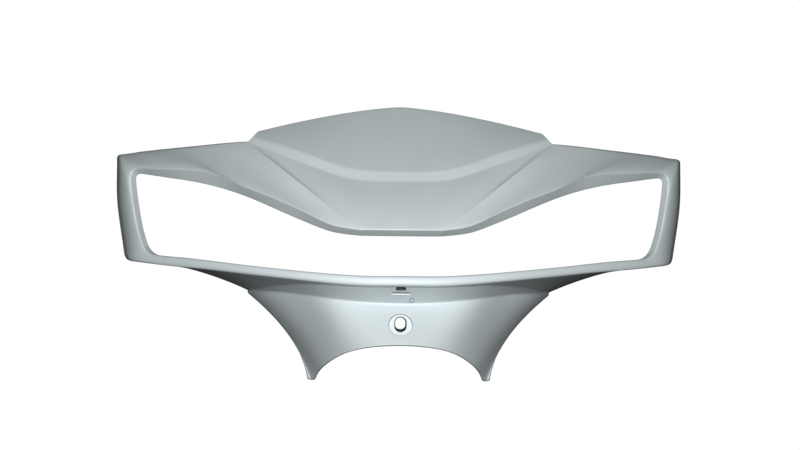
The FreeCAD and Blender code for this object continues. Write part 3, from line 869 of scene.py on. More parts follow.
@dataclass(frozen=True)
class StemScrewSeat:
    """Round recess of the stem screw in the neck, its long hole and the tube behind.

    Attributes:
        height: Height of the screw's axis on the neck's face.
        radius: Radius of the recess.
        depth: Its depth along the axis.
        tilt: Degrees that the axis rises to the front.
        hole: Width and height of the long hole.
        tube: Length of the tube behind the neck's face.
        mouth_round: Reach of the round at the recess's mouth.
        inner_round: Reach of the rounds at the recess's foot and outside its cup.
        hole_round: Reach of the rounds at the hole's ends.
        draft: How much the hole narrows to the rear: at its top and sides, and at its bottom.
        columns: Cells of the shell that make way for the seat, from the middle to the side.
        rows: Cells of the shell that make way for it, from top to bottom.
        face_shares: How far the rings on the neck's face stand from the gap to the mouth.
        cup_share: The same for the cup's rim on the inner side.
        skin_shares: The same for the rings on the inner side.
        mouth_steps: Rings of the mouth's round.
        round_steps: Rings of every other round.
    """

    height: float = -32.2
    radius: float = 8.65
    depth: float = 4.6
    tilt: float = 16.0
    hole: Pair = (8.4, 11.0)
    tube: float = 15.0
    mouth_round: float = 0.8
    inner_round: float = 0.6
    hole_round: float = 0.35
    draft: Pair = (0.5, 2.0)
    columns: int = 12
    rows: int = 30
    face_shares: Triple = (0.35, 0.7, 1.0)
    cup_share: float = 0.7
    skin_shares: Pair = (1.0, 0.55)
    mouth_steps: int = 4
    round_steps: int = 3

    def middle(self, lines: CoverLines) -> np.ndarray:
        """Return the point of the neck's face on the screw's axis."""
        top, foot = vec(*lines.neck_valley[0]), vec(*lines.neck_arch[0])
        return foot + (top - foot) * (self.height - foot[2]) / (top[2] - foot[2])

    def out(self) -> np.ndarray:
        """Return the screw's axis, to the front."""
        return vec(0, -math.cos(math.radians(self.tilt)), math.sin(math.radians(self.tilt)))

    def floor(self, lines: CoverLines) -> np.ndarray:
        """Return the middle of the recess's floor, which is the part's origin."""
        return self.middle(lines) - self.out() * self.depth

    def long_hole(self, angle: np.ndarray, grow: float) -> np.ndarray:
        """Find how far the long hole's outline reaches.

        Args:
            angle: Directions from its middle.
            grow: How much it is grown all round.

        Returns:
            The reach in each direction.
        """
        r = self.hole[0] / 2 + grow
        rise = (self.hole[1] - self.hole[0]) / 2
        c, s = np.abs(np.cos(angle)), np.abs(np.sin(angle))
        round_end = rise * s + np.sqrt(np.maximum(r * r - (rise * c) ** 2, 0.0))
        return np.where(s * r <= rise * c, r / np.maximum(c, 1e-9), round_end)

    def rings(self, lines: CoverLines, outer: Panel, inner: Panel, outer_rim: np.ndarray,
              inner_rim: np.ndarray, guess: np.ndarray) -> tuple[list[np.ndarray], int]:
        """Return the rings from the neck's face through the recess and hole to its inner side.

        Args:
            lines: The shell's lines.
            outer: Outer panel of the neck.
            inner: Its inner side.
            outer_rim: Points of the gap left in the outer panel, from below to above.
            inner_rim: Points of the gap left in the inner panel.
            guess: Parameters along and across at those points, one pair a row.

        Returns:
            The rings, and the index of the first one of the hole, where the paint ends.
        """
        middle, out, floor = self.middle(lines), self.out(), self.floor(lines)
        up = vec(0, out[2], -out[1])
        side = vec(1, 0, 0)
        flat = np.column_stack([outer_rim[:, 0], (outer_rim - middle) @ up])
        angle = np.arctan2(flat[:, 1], flat[:, 0])
        angle[0], angle[-1] = -math.pi / 2, math.pi / 2
        way = np.column_stack([np.cos(angle), np.sin(angle)])

        def disc(radius: float, base: np.ndarray) -> np.ndarray:
            """Return a ring square to the screw."""
            return base + radius * (way[:, :1] * side + way[:, 1:] * up)

        def on(panel: Panel, place: np.ndarray, share: float) -> np.ndarray:
            """Find points of a panel by their places square to the screw.

            Args:
                panel: The panel.
                place: The places, across and up.
                share: How far they lie from the gap's edge to its middle, for the first guess.

            Returns:
                The points, one a row.
            """
            centre = np.array([0.0, np.mean(guess[:, 1])])
            start = guess + (centre - guess) * share
            return panel.locate(place[:, 0], place[:, 1], up, middle, start[:, 0], start[:, 1])

        def hole(grow: float, y: float, taper: float = 0.0) -> np.ndarray:
            """Draw the long hole's outline at a depth.

            Args:
                grow: How much it is grown all round.
                y: The depth.
                taper: Share of the draft that narrows it.

            Returns:
                The points, one a row.
            """
            fall = self.draft[0] + (self.draft[1] - self.draft[0]) * np.maximum(0.0, -np.sin(angle)) ** 2
            reach = self.long_hole(angle, grow) - taper * fall
            return np.column_stack([reach * way[:, 0], np.full(len(angle), y),
                                    middle[2] + reach * way[:, 1]])

        def hole_on(grow: float, base: np.ndarray) -> np.ndarray:
            """Draw the long hole's outline on a plane square to the screw.

            Args:
                grow: How much it is grown all round.
                base: Point of the plane on the screw's axis.

            Returns:
                The points, one a row.
            """
            ring = hole(grow, 0.0)
            ring[:, 1] = base[1] - (ring[:, 2] - base[2]) * out[2] / out[1]
            return ring

        wall, m, f, h = lines.wall, self.mouth_round, self.inner_round, self.hole_round
        steps = self.round_steps
        back = vec(0, 1, 0)
        cup = self.radius + wall
        cup_floor = floor - out * wall
        end = middle[1] + self.tube
        face = [on(outer, flat + (way * (self.radius + m) - flat) * t, t) for t in self.face_shares]
        mouth = on(outer, way * self.radius, 1.0)
        foot = disc(self.radius, floor)
        seat = [hole_on(h, floor), hole_on(0.0, floor)]
        tube = [hole(0.0, end, 1.0), hole(wall, end)]
        root = hole_on(wall, cup_floor)
        rim = on(inner, way * cup, self.cup_share)
        flat_in = np.column_stack([inner_rim[:, 0], (inner_rim - middle) @ up])
        skin = [on(inner, flat_in + (way * (cup + f) - flat_in) * t, t) for t in self.skin_shares]
        cup_edge = disc(cup, cup_floor)
        near = [
            face,
            arc(face[-1], mouth, mouth - out * m, self.mouth_steps),
            [mouth - out * m, foot + out * f],
            arc(foot + out * f, foot, disc(self.radius - f, floor), steps),
            [disc(self.radius - f, floor), seat[0]],
        ]
        far = [
            arc(seat[0], seat[1], seat[1] + back * h, steps),
            [seat[1] + back * h, tube[0] - back * h],
            arc(tube[0] - back * h, tube[0], hole(h, end, 1.0), steps),
            [hole(h, end, 1.0), hole(wall - h, end)],
            arc(hole(wall - h, end), tube[1], tube[1] - back * h, steps),
            [tube[1] - back * h, root + back * f],
            arc(root + back * f, root, hole_on(wall + f, cup_floor), steps),
            [hole_on(wall + f, cup_floor), disc(cup - f, cup_floor)],
            arc(disc(cup - f, cup_floor), cup_edge, cup_edge + out * f, steps),
            [cup_edge + out * f, rim - out * f],
            arc(rim - out * f, rim, skin[0], steps),
            skin,
        ]
        rings = [r for group in near for r in group]
        # From here on the hole's bore is in the dark bare ABS, which draws the dark crescent at the hole's
        # foot: partly painted shade.
        first_bare = len(rings)
        rings += [r for group in far for r in group]
        for ring in rings:
            ring[0, 0] = ring[-1, 0] = 0.0
        return rings, first_bare


@dataclass(frozen=True)
class RearFittings:
    """Lamp posts, tongues, clip slot with its socket, the bar under it and two fine lines beside that.

    Attributes:
        post_r: Radius of a post.
        pilot_r: Radius of its pilot hole.
        pilot_depth: Depth of that hole.
        post_x: Distance of the posts from the middle.
        upper_post_z: Height of the upper posts.
        upper_post_reach: Where they end behind the lens surface.
        lower_post_drop: How far the lower posts stand below the middle of the rim.
        lower_post_lead: Where they start behind the lens surface.
        lower_post_reach: Where they end behind it.
        tongue_x: Distance of the outer tongues from the middle.
        tongue_width: Width of a tongue.
        tongue_thick: Its thickness.
        tongue_drop: How far it stands below the hood's edge.
        tongue_reach: How far it stands out behind that edge.
        slot: Width and height of the clip slot.
        slot_z: Its height on the chin.
        slot_depth: Depth of its socket.
        bar: Width and height of the bar.
        bar_proud: How far it stands out.
        bar_z: Its height on the chin.
        plate_round: Radius of a tongue's corners.
        socket_round: Radius of the socket's corners.
        bar_round: Radius of the bar's corners.
        painted_shade_groove: Width, height and depth of the groove over the bar, cut in the dark bare ABS:
            painted shade along the bar's top.
        gate: Place of the ring where the mould was filled.
        gate_r: Its radius.
        gate_shade_line: Width and depth of its line, cut in the dark bare ABS: a painted shade ring.
        overlap: How far a solid or a cut goes on past the face that it meets.
    """

    post_r: float = 3.3
    pilot_r: float = 1.6
    pilot_depth: float = 12.0
    post_x: float = 128.0
    upper_post_z: float = 86.0
    upper_post_reach: float = 35.5
    lower_post_drop: float = 0.7
    lower_post_lead: float = 8.6
    lower_post_reach: float = 26.6
    tongue_x: float = 58.0
    tongue_width: float = 18.0
    tongue_thick: float = 2.0
    tongue_drop: float = 5.0
    tongue_reach: float = 8.0
    slot: Pair = (7.8, 2.6)
    slot_z: float = -6.1
    slot_depth: float = 12.0
    bar: Pair = (14.0, 0.8)
    bar_proud: float = 0.5
    bar_z: float = -10.0
    plate_round: float = 0.5
    socket_round: float = 1.0
    bar_round: float = 0.25
    painted_shade_groove: Triple = (14.0, 0.9, 0.8)
    gate: Pair = (8.1, -14.6)
    gate_r: float = 1.8
    gate_shade_line: Pair = (0.35, 0.3)
    overlap: float = 1.0

    RING_POINTS = 40
    PILOT_POINTS = 24
    CORNER_POINTS = 6
    SIDE_SPACING = 2.0
    # The straight length left at a round end, so that its two corners stay apart.
    END_LENGTH = 0.02
    # Where the search for a post on the wing and for a tongue on the hood starts, along and across.
    WING_GUESS = (0.25, 0.5)
    HOOD_GUESS = 0.8

    @staticmethod
    def round_outline(radius: float, x: float, z: float, count: int) -> np.ndarray:
        """Return a circle as (x, z) points."""
        turn = np.linspace(0, 2 * math.pi, count, endpoint=False)
        return np.column_stack([x + radius * np.cos(turn), z + radius * np.sin(turn)])

    @classmethod
    def plate_outline(cls, size: Pair, x: float, z: float, radius: float | None = None) -> np.ndarray:
        """Return a rectangle with round corners as (x, z) points, close enough to follow a curve.

        Args:
            size: Its width and height.
            x: Its middle across.
            z: Its middle in height.
            radius: Radius of its corners, or None for round ends.

        Returns:
            The points, one a row.
        """
        if radius is None:
            radius = (size[1] - cls.END_LENGTH) / 2
        out = []
        half = np.array(size) / 2 - radius
        for i, sign in enumerate(((1, 1), (-1, 1), (-1, -1), (1, -1))):
            turn = math.pi / 2 * (i + np.linspace(0, 1, cls.CORNER_POINTS))
            out.append(np.array(sign) * half + radius * np.column_stack([np.cos(turn), np.sin(turn)]))
        closed = np.concatenate(out + [out[0][:1]])
        fine = [a + (b - a) * t for a, b in zip(closed[:-1], closed[1:])
                for t in np.arange(0, 1, 1 / max(1, round(np.linalg.norm(b - a) / cls.SIDE_SPACING)))]
        return np.array(fine) + (x, z)

    @staticmethod
    def prism(body: Skins, outline: np.ndarray, front: np.ndarray | float, back: float, skin: Skin) -> None:
        """Add a solid along y.

        Args:
            body: Where it is added.
            outline: Its (x, z) points.
            front: Depth of its front end, or one value for each point and one for the middle.
            back: Depth of its rear end.
            skin: Finish of its faces.
        """
        front = np.broadcast_to(front, len(outline) + 1)
        ends = []
        for depth in (front[:-1], np.full(len(outline), back)):
            ends.append(body.add(np.column_stack([outline[:, 0], depth, outline[:, 1]])))
        middle = outline.mean(0)
        hubs = body.add(np.array([[middle[0], front[-1], middle[1]], [middle[0], back, middle[1]]]))
        body.strip(ends[0], ends[1], skin, True)
        for ring, hub in zip(ends, hubs):
            for a, b in zip(ring, np.roll(ring, -1)):
                body.face([a, b, hub], skin)

    @staticmethod
    def depth_on(panel: Panel, outline: np.ndarray, u: float, v: float) -> np.ndarray:
        """Find a panel's depth behind an outline.

        Args:
            panel: The panel.
            outline: The outline's (x, z) points.
            u: Where the search starts along the panel.
            v: Where it starts across.

        Returns:
            The depth at each point, then at their middle.
        """
        places = np.concatenate([outline, [outline.mean(0)]])
        start_u, start_v = (np.full(len(places), start) for start in (u, v))
        return panel.locate(places[:, 0], places[:, 1], vec(0, 0, 1), vec(0, 0, 0), start_u, start_v)[:, 1]

    def lower_post_z(self, lines: CoverLines) -> float:
        """Return the height of the lower posts, which follow the rim."""
        rim = [FeatureLine(points) for points in (lines.rim_top, lines.rim_foot)]
        return sum(r.shares(r.share_at(self.post_x))[2] for r in rim) / 2 - self.lower_post_drop

    def chin_y(self, lines: CoverLines, z: np.ndarray | float) -> np.ndarray | float:
        """Return the depth of the chin's middle line at heights."""
        (_, y0, z0), (_, y1, z1) = lines.neck_root[0], lines.neck_valley[0]
        return y0 + (y1 - y0) * (z - z0) / (z1 - z0)

    def solids(self, net: CoverNet) -> Skins:
        """Build posts, tongues, socket and bar.

        Args:
            net: The shell's panels.

        Returns:
            Closed solids that reach into the wall.
        """
        lines, body = net.lines, Skins()
        wall = lines.wall
        for side in (-1, 1):
            x = self.post_x
            ring = self.round_outline(self.post_r, x, self.upper_post_z, self.RING_POINTS)
            front = self.depth_on(net.ring[1], ring, *self.WING_GUESS) + wall / 2
            end = float(lines.lens_y(x, self.upper_post_z)) + self.upper_post_reach
            self.prism(body, ring * (side, 1), front, end, Skin.BARE)
            low = self.lower_post_z(lines)
            ring = self.round_outline(self.post_r, x, low, self.RING_POINTS)
            start = float(lines.lens_y(x, low))
            self.prism(body, ring * (side, 1), start + self.lower_post_lead, start + self.lower_post_reach,
                       Skin.BARE)
        for x in (-self.tongue_x, 0.0, self.tongue_x):
            share = abs(x) / lines.hood_corner[0]
            (top_y, top_z), (_, y, z) = lines.hood_top, lines.hood_corner
            end = top_y + (y - top_y) * share ** 2 + self.tongue_reach
            z = top_z - (top_z - z) * share ** lines.hood_bow - self.tongue_drop - self.tongue_thick / 2
            ring = self.plate_outline((self.tongue_width, self.tongue_thick), x, z, self.plate_round)
            front = self.depth_on(net.hood[3], ring, x / lines.hood_corner[0], self.HOOD_GUESS) + wall / 2
            self.prism(body, ring, front, end, Skin.BARE)
        mouth = float(self.chin_y(lines, self.slot_z))
        size = (self.slot[0] + 2 * wall, self.slot[1] + 2 * wall)
        ring = self.plate_outline(size, 0.0, self.slot_z, self.socket_round)
        front = self.chin_y(lines, np.append(ring[:, 1], self.slot_z)) + wall / 2
        self.prism(body, ring, front, mouth + self.slot_depth + wall, Skin.BARE)
        ring = self.plate_outline(self.bar, 0.0, self.bar_z, self.bar_round)
        face = float(self.chin_y(lines, self.bar_z))
        self.prism(body, ring, face - self.bar_proud, face + self.overlap, Skin.PAINT)
        return body

    def cuts(self, net: CoverNet) -> Skins:
        """Build what is taken away: clip slot, groove over the bar, line of the gate's ring, pilot holes.

        Args:
            net: The shell's panels.

        Returns:
            Closed solids.
        """
        lines, body = net.lines, Skins()
        mouth = float(self.chin_y(lines, self.slot_z))
        ahead = mouth - 2 * lines.wall
        # The clip slot's walls are cut in the dark bare ABS: partly painted shade inside the slot.
        ring = self.plate_outline(self.slot, 0.0, self.slot_z)
        self.prism(body, ring, ahead, mouth + self.slot_depth, Skin.BARE)
        # Groove over the bar with its inside in the dark bare ABS: a painted shade line along the bar's top.
        width, height, depth = self.painted_shade_groove
        z = self.bar_z + (self.bar[1] + height) / 2
        ring = self.plate_outline((width, height), 0.0, z)
        self.prism(body, ring, ahead, float(self.chin_y(lines, z)) + depth, Skin.BARE)
        # Fine ring round the gate with its inside in the dark bare ABS: its dark line is painted shade in the
        # groove.
        line, depth = self.gate_shade_line
        loops = []
        for radius, sink in ((self.gate_r, -self.overlap), (self.gate_r, depth), (self.gate_r - line, depth),
                             (self.gate_r - line, -self.overlap)):
            x, z = self.round_outline(radius, *self.gate, self.RING_POINTS).T
            loops.append(body.add(np.column_stack([x, self.chin_y(lines, z) + sink, z])))
        for a, b in zip(loops, loops[1:] + loops[:1]):
            body.strip(a, b, Skin.BARE, True)
        low = self.lower_post_z(lines)
        for z, reach in ((self.upper_post_z, self.upper_post_reach), (low, self.lower_post_reach)):
            end = float(lines.lens_y(self.post_x, z)) + reach
            for side in (-1, 1):
                ring = self.round_outline(self.pilot_r, side * self.post_x, z, self.PILOT_POINTS)
                self.prism(body, ring, end - self.pilot_depth, end + self.overlap, Skin.BARE)
        return body


@dataclass
class FrontCover:
    """The cover as one piece: shell, screw seat and fittings.

    Attributes:
        lines: Sizes and feature lines of the shell.
        seat: Seat of the stem screw.
        fittings: What is joined to the shell and cut out of it.
        lip_round: Reach of the round along the lip and the rim's top.
        outer_round: Along the outer edge of wings and rim.
        tip_round: Along that edge round the wing tips.
        band_round: Along both creases of the band.
        root_round: Along the neck's root.
        valley_round: Along the valley above the neck.
        inner_round: Along the same creases inside.
        edge_round: Along the free edges.
        foot_fade: Share of the hood over which the band's foot loses its round at the wing.
        start_fade: Share of the ring over which the outer edge gains its round at the hood.
        neck_fade: Share of the ring over which the rear edge loses its round at the neck.
        root_fade: Share of the rim over which the neck's root loses its round at its end.
        tip_rise: Where the tip's round sets in along the ring, and over which share.
        tip_fall: Where it has run out, and over which share it does.
        hood_counts: Points across each panel of the hood.
        ring_counts: Points across each panel of the ring.
        low_counts: Points across each panel of rim and neck.
        hood_stations: Sections of the hood.
        ring_spacing: Distance of the ring's sections.
        least_cells: Fewest cells between two points of the ring.
        low_cells: Cells between the points of rim and neck.
        smooth_angle: Degrees above which an edge is drawn sharp.
    """

    lines: CoverLines = field(default_factory=CoverLines)
    seat: StemScrewSeat = field(default_factory=StemScrewSeat)
    fittings: RearFittings = field(default_factory=RearFittings)
    lip_round: float = 1.1
    outer_round: float = 1.4
    tip_round: float = 4.5
    band_round: float = 1.2
    root_round: float = 1.0
    valley_round: float = 1.6
    inner_round: float = 0.6
    edge_round: float = 0.5
    foot_fade: float = 0.1
    start_fade: float = 0.04
    neck_fade: float = 0.03
    root_fade: float = 0.06
    tip_rise: Pair = (0.1, 0.3)
    tip_fall: Pair = (0.84, 0.1)
    hood_counts: tuple[int, ...] = (4, 16, 5, 22)
    ring_counts: tuple[int, ...] = (4, 16, 8)
    low_counts: tuple[int, ...] = (4, 16, 8, 9, 36)
    hood_stations: int = 56
    ring_spacing: float = 2.4
    least_cells: int = 3
    low_cells: tuple[int, ...] = (20, 14, 12, 10, 8, 6, 4, 3)
    smooth_angle: float = 32.0

    def branches(self, net: CoverNet) -> list[Branch]:
        """Divide the right half of the shell into branches and give them their rounds.

        Args:
            net: The shell's panels.

        Returns:
            The hood, the wing's ring and the rim with the neck.
        """
        hood = np.linspace(0, 1, self.hood_stations)
        lip = net.ring[1].rows[0].points
        gaps = np.linalg.norm(np.diff(lip, axis=0), axis=1)
        cells = np.maximum(self.least_cells, np.ceil(gaps / self.ring_spacing).astype(int))
        ring = self.subdivide(net.along, cells)
        low = self.subdivide(self.lines.LOW, self.low_cells)

        def same(value: float, u: np.ndarray) -> np.ndarray:
            """Return one value a station."""
            return np.full(len(u), value)

        at_foot = smooth((1 - hood) / self.foot_fade)
        from_foot, to_neck = smooth(ring / self.start_fade), smooth((1 - ring) / self.neck_fade)
        at_root = smooth((1 - low) / self.root_fade)
        (rise, rise_over), (fall, fall_over) = self.tip_rise, self.tip_fall
        at_tip = smooth((ring - rise) / rise_over) * smooth((fall - ring) / fall_over)
        outer = (self.outer_round + (self.tip_round - self.outer_round) * at_tip) * from_foot
        inner, edge = self.inner_round, self.edge_round
        return [
            Branch(net.hood, [net.inner(p) for p in net.hood], hood, list(self.hood_counts),
                   [same(self.lip_round, hood), self.band_round * at_foot, same(self.band_round, hood)],
                   [same(inner, hood), inner * at_foot, same(inner, hood)],
                   same(edge, hood), same(edge, hood)),
            Branch(net.ring, [net.inner(p) for p in net.ring], ring, list(self.ring_counts),
                   [same(self.lip_round, ring), outer],
                   [same(inner, ring), inner * from_foot], edge * to_neck, same(edge, ring)),
            Branch(net.low, [net.inner(p) for p in net.low], low, list(self.low_counts),
                   [same(self.lip_round, low), same(self.outer_round, low), self.root_round * at_root,
                    same(self.valley_round, low)],
                   [same(inner, low), same(inner, low), inner * at_root, same(inner, low)],
                   same(edge, low), same(edge, low)),
        ]

    @staticmethod
    def subdivide(params: np.ndarray, cells: np.ndarray | tuple[int, ...]) -> np.ndarray:
        """Return stations that split each stretch between parameters into cells."""
        out = [np.linspace(a, b, n, endpoint=False) for a, b, n in zip(params[:-1], params[1:], cells)]
        return np.concatenate(out + [params[-1:]])

    def shell(self, net: CoverNet) -> Skins:
        """Build the shell with the screw's seat.

        Args:
            net: The shell's panels.

        Returns:
            Both halves of the closed shell.
        """
        body = Skins()
        hood, ring, low = self.branches(net)
        neck, seat = len(net.low) - 1, self.seat
        first = low.start_of(neck)
        top, foot = self.lines.neck_valley[0][2], self.lines.neck_arch[0][2]
        middle = round((top - seat.height) / (top - foot) * (low.counts[neck] - 1))
        k0, k1 = first + middle - seat.rows // 2, first + middle + seat.rows // 2
        # Each branch's open end: the first panel that no neighbour meets there, and the end's section.
        for branch, free_run, end in ((hood, 2, -1), (ring, 2, 0), (low, 3, -1)):
            points = branch.sections()
            index = body.add(points)
            hidden = set()
            if branch is low:
                hidden = set(range(k0, k1)) | {branch.partner(k) - 1 for k in range(k0, k1)}
            for i in range(len(index) - 1):
                for k in range(branch.size):
                    if k in hidden and i < seat.columns:
                        continue
                    n = (k + 1) % branch.size
                    body.face([index[i, k], index[i + 1, k], index[i + 1, n], index[i, n]], branch.skin_of(k))
            self.cap(body, branch, index[end], branch.start_of(free_run) - 1)
        self.add_seat(body, net, low, index, points, (first, k0, k1))
        body.mirror()
        return body

    @staticmethod
    def cap(body: Skins, branch: Branch, section: np.ndarray, start: int) -> None:
        """Close the free part of a branch's end.

        Args:
            body: Where the faces are added.
            branch: The branch.
            section: Point indices of its end section.
            start: Section index at which the free part starts.
        """
        last = branch.outer_size - 1
        for k in range(start, last):
            inside = [section[branch.partner(n)] for n in (k + 1, k)]
            body.face([section[k], section[k + 1]] + inside, Skin.PAINT)
        body.face(list(section[last:branch.partner(last) + 1]), Skin.PAINT)

    def add_seat(self, body: Skins, net: CoverNet, low: Branch, index: np.ndarray, points: np.ndarray,
                 gap: tuple[int, int, int]) -> None:
        """Fill the gap in the neck with the screw's seat.

        Args:
            body: Where it is added.
            net: The shell's panels.
            low: Branch of the rim and neck.
            index: Point indices of that branch.
            points: Its points.
            gap: Section indices of the neck's first point and of the gap's top and bottom.
        """
        first, k0, k1 = gap
        wide = self.seat.columns
        rim = [(i, k1) for i in range(wide + 1)] + [(wide, k) for k in range(k1 - 1, k0 - 1, -1)]
        rim += [(i, k0) for i in range(wide - 1, -1, -1)]
        outer = tuple(np.array(rim).T)
        inner = (outer[0], np.array([low.partner(k) for k in outer[1]]))
        guess = np.column_stack([low.stations[outer[0]], (outer[1] - first) / (low.counts[-1] - 1)])
        rings, first_bare = self.seat.rings(self.lines, net.low[-1], net.inner(net.low[-1]), points[outer],
                                           points[inner], guess)
        loops = [index[outer]] + [body.add(r) for r in rings] + [index[inner]]
        for j, (a, b) in enumerate(zip(loops[:-1], loops[1:])):
            # Faces from the hole's bore on take the dark bare ABS, partly painted shade inside the hole.
            body.strip(a, b, Skin.PAINT if j < first_bare else Skin.BARE)

    def build(self, finishes: list[bpy.types.Material], box: tuple[Vector, Vector]) -> bpy.types.Object:
        """Make the piece.

        Args:
            finishes: Materials in the order of Skin.
            box: Low and high corner of the part, which the piece stays inside.

        Returns:
            The finished piece, riding on the part's body.
        """
        net = CoverNet(self.lines)
        origin = self.seat.floor(self.lines)
        piece = self.solid("front_cover_shell", self.shell(net), origin, finishes)
        joined = self.solid("fittings", self.fittings.solids(net), origin, finishes)
        self.combine(piece, joined, Change.JOIN)
        taken = self.solid("cuts", self.fittings.cuts(net), origin, finishes)
        self.combine(piece, taken, Change.CUT)
        places = np.empty(3 * len(piece.data.vertices), np.float32)
        piece.data.vertices.foreach_get("co", places)
        piece.data.vertices.foreach_set("co", np.clip(places.reshape(-1, 3), *box).ravel())
        piece.data.shade_smooth()
        piece.data.set_sharp_from_angle(angle=math.radians(self.smooth_angle))
        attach(piece, BODY)
        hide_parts(NODE)
        log.info("%s: %d faces", piece.name, len(piece.data.polygons))
        return piece

    @staticmethod
    def solid(name: str, body: Skins, origin: np.ndarray,
              finishes: list[bpy.types.Material]) -> bpy.types.Object:
        """Make an object from gathered faces.

        Args:
            name: Its name.
            body: Its points and faces.
            origin: Lamp coordinates of the part's origin.
            finishes: Materials in the order of Skin.

        Returns:
            The new object.
        """
        obj = bpy.data.objects.new(name, body.mesh(name, origin))
        for finish in finishes:
            obj.data.materials.append(finish)
        bpy.context.scene.collection.objects.link(obj)
        return obj

    @staticmethod
    def combine(piece: bpy.types.Object, tool: bpy.types.Object, how: Change) -> None:
        """Change a piece by a solid, and remove the solid.

        Args:
            piece: The piece.
            tool: The solid.
            how: What the solid does to it.
        """
        step = piece.modifiers.new(how.name.lower(), "BOOLEAN")
        step.operation = how.value
        step.solver = "EXACT"
        step.object = tool
        done = piece.evaluated_get(bpy.context.evaluated_depsgraph_get())
        made = bpy.data.meshes.new_from_object(done)
        piece.modifiers.clear()
        piece.data = made
        bpy.data.objects.remove(tool)


def linear(code: str) -> tuple[float, float, float, float]:
    """Turn an sRGB colour to a linear one.

    Args:
        code: Hex code with its leading hash.

    Returns:
        Red, green, blue and an alpha of one.
    """
    parts = [int(code[i:i + 2], 16) / 255 for i in (1, 3, 5)]
    r, g, b = (c / 12.92 if c <= 0.04045 else ((c + 0.055) / 1.055) ** 2.4 for c in parts)
    return r, g, b, 1.0


def add_node(tree: bpy.types.NodeTree, kind: str, inputs: dict[str | int, object] | None = None,
             **settings: object) -> bpy.types.Node:
    """Add a node to a tree.

    Args:
        tree: Where it goes.
        kind: Blender's name of the node.
        inputs: Value, or socket to link, for each input.
        **settings: Properties of the node.

    Returns:
        The new node.
    """
    made = tree.nodes.new(kind)
    for name, value in settings.items():
        setattr(made, name, value)
    for name, value in (inputs or {}).items():
        if isinstance(value, bpy.types.NodeSocket):
            tree.links.new(value, made.inputs[name])
        else:
            made.inputs[name].default_value = value
    return made


@dataclass(frozen=True)
class Finish:
    """What both finishes share: two colours that a noise mixes, and a roughness that another one varies.

    Attributes:
        name: What the finish is and how it was made.
        pale: Lighter colour.
        deep: Darker colour.
        roughness: Lowest and highest roughness.
        span: Stretch of the noise over which the roughness goes from one to the other.
    """

    name: str
    pale: str
    deep: str
    roughness: Pair
    span: Pair = (0.0, 1.0)

    # Where a colour mix has its two colours among its inputs and its result among its outputs.
    MIX_COLOURS = slice(6, 8)
    MIX_RESULT = 2

    def begin(self) -> tuple[bpy.types.Material, bpy.types.NodeSocket]:
        """Start a material.

        Returns:
            The material, and the socket that gives places on the piece.
        """
        made = bpy.data.materials.new(self.name)
        made.use_nodes = True
        return made, add_node(made.node_tree, "ShaderNodeTexCoord").outputs["Object"]

    def dress(self, made: bpy.types.Material, mix: bpy.types.NodeSocket, fine: bpy.types.NodeSocket,
              bump: bpy.types.Node) -> None:
        """Lead the mixed colours, the roughness and the bumps to the shader.

        Args:
            made: The material.
            mix: Noise that mixes the colours.
            fine: Noise that varies the roughness.
            bump: Node with the bumps.
        """
        tree = made.node_tree
        shader = tree.nodes["Principled BSDF"]
        tint = add_node(tree, "ShaderNodeMix", {"Factor": mix}, data_type="RGBA")
        for socket, value in zip(tint.inputs[self.MIX_COLOURS], (self.deep, self.pale)):
            socket.default_value = linear(value)
        rough = add_node(tree, "ShaderNodeMapRange", {
            "Value": fine, "From Min": self.span[0], "From Max": self.span[1],
            "To Min": self.roughness[0], "To Max": self.roughness[1]})
        tree.links.new(tint.outputs[self.MIX_RESULT], shader.inputs["Base Color"])
        tree.links.new(rough.outputs["Result"], shader.inputs["Roughness"])
        tree.links.new(bump.outputs["Normal"], shader.inputs["Normal"])


@dataclass(frozen=True)
class MetallicPaint(Finish):
    """Satin metallic base coat sprayed on moulded ABS.

    The flake lies flat in the coat, so the colour is near white where it faces the light and falls to
    grey on every face that turns away. A thin clear coat over it softens the edges' glints.

    Attributes:
        pale: Colour where the coat is thick.
        deep: Colour where it is thin.
        metallic: Share of the flake.
        coat: Weight of the clear coat.
        coat_roughness: Its roughness.
        cloud: Size of the patches of thicker coat in millimetres.
        flake: Size of the flake's sparkle in millimetres, coarsened from about 0.05 so that it shows.
        peel: Size of the sprayed coat's ripple in millimetres.
        detail: Layers of finer noise in these three.
        flake_bump: Strength and height, in millimetres, of the flake's bumps.
        peel_bump: The same of the ripple.
    """

    name: str = "sprayed_satin_metallic_paint_on_abs"
    pale: str = "#CDD6D8"
    deep: str = "#C5CED0"
    metallic: float = 0.42
    roughness: Pair = (0.64, 0.72)
    span: Pair = (0.3, 0.7)
    coat: float = 0.05
    coat_roughness: float = 0.3
    cloud: float = 38.0
    flake: float = 0.7
    peel: float = 2.6
    detail: Triple = (3.0, 1.0, 2.0)
    flake_bump: Pair = (0.08, 0.05)
    peel_bump: Pair = (0.05, 0.1)

    def material(self) -> bpy.types.Material:
        """Make the material.

        Returns:
            The finished material.
        """
        made, place = self.begin()
        tree = made.node_tree
        cloud, flake, peel = [
            add_node(tree, "ShaderNodeTexNoise", {"Vector": place, "Scale": 1 / (size * MM),
                                                  "Detail": detail}).outputs["Fac"]
            for size, detail in zip((self.cloud, self.flake, self.peel), self.detail)]
        strength, height = self.peel_bump
        bump = add_node(tree, "ShaderNodeBump", {"Height": peel, "Strength": strength,
                                                 "Distance": height * MM})
        strength, height = self.flake_bump
        bump = add_node(tree, "ShaderNodeBump", {"Height": flake, "Strength": strength,
                                                 "Distance": height * MM, "Normal": bump.outputs["Normal"]})
        self.dress(made, cloud, flake, bump)
        shader = tree.nodes["Principled BSDF"]
        for name, value in (("Metallic", self.metallic), ("Coat Weight", self.coat),
                            ("Coat Roughness", self.coat_roughness)):
            shader.inputs[name].default_value = value
        return made


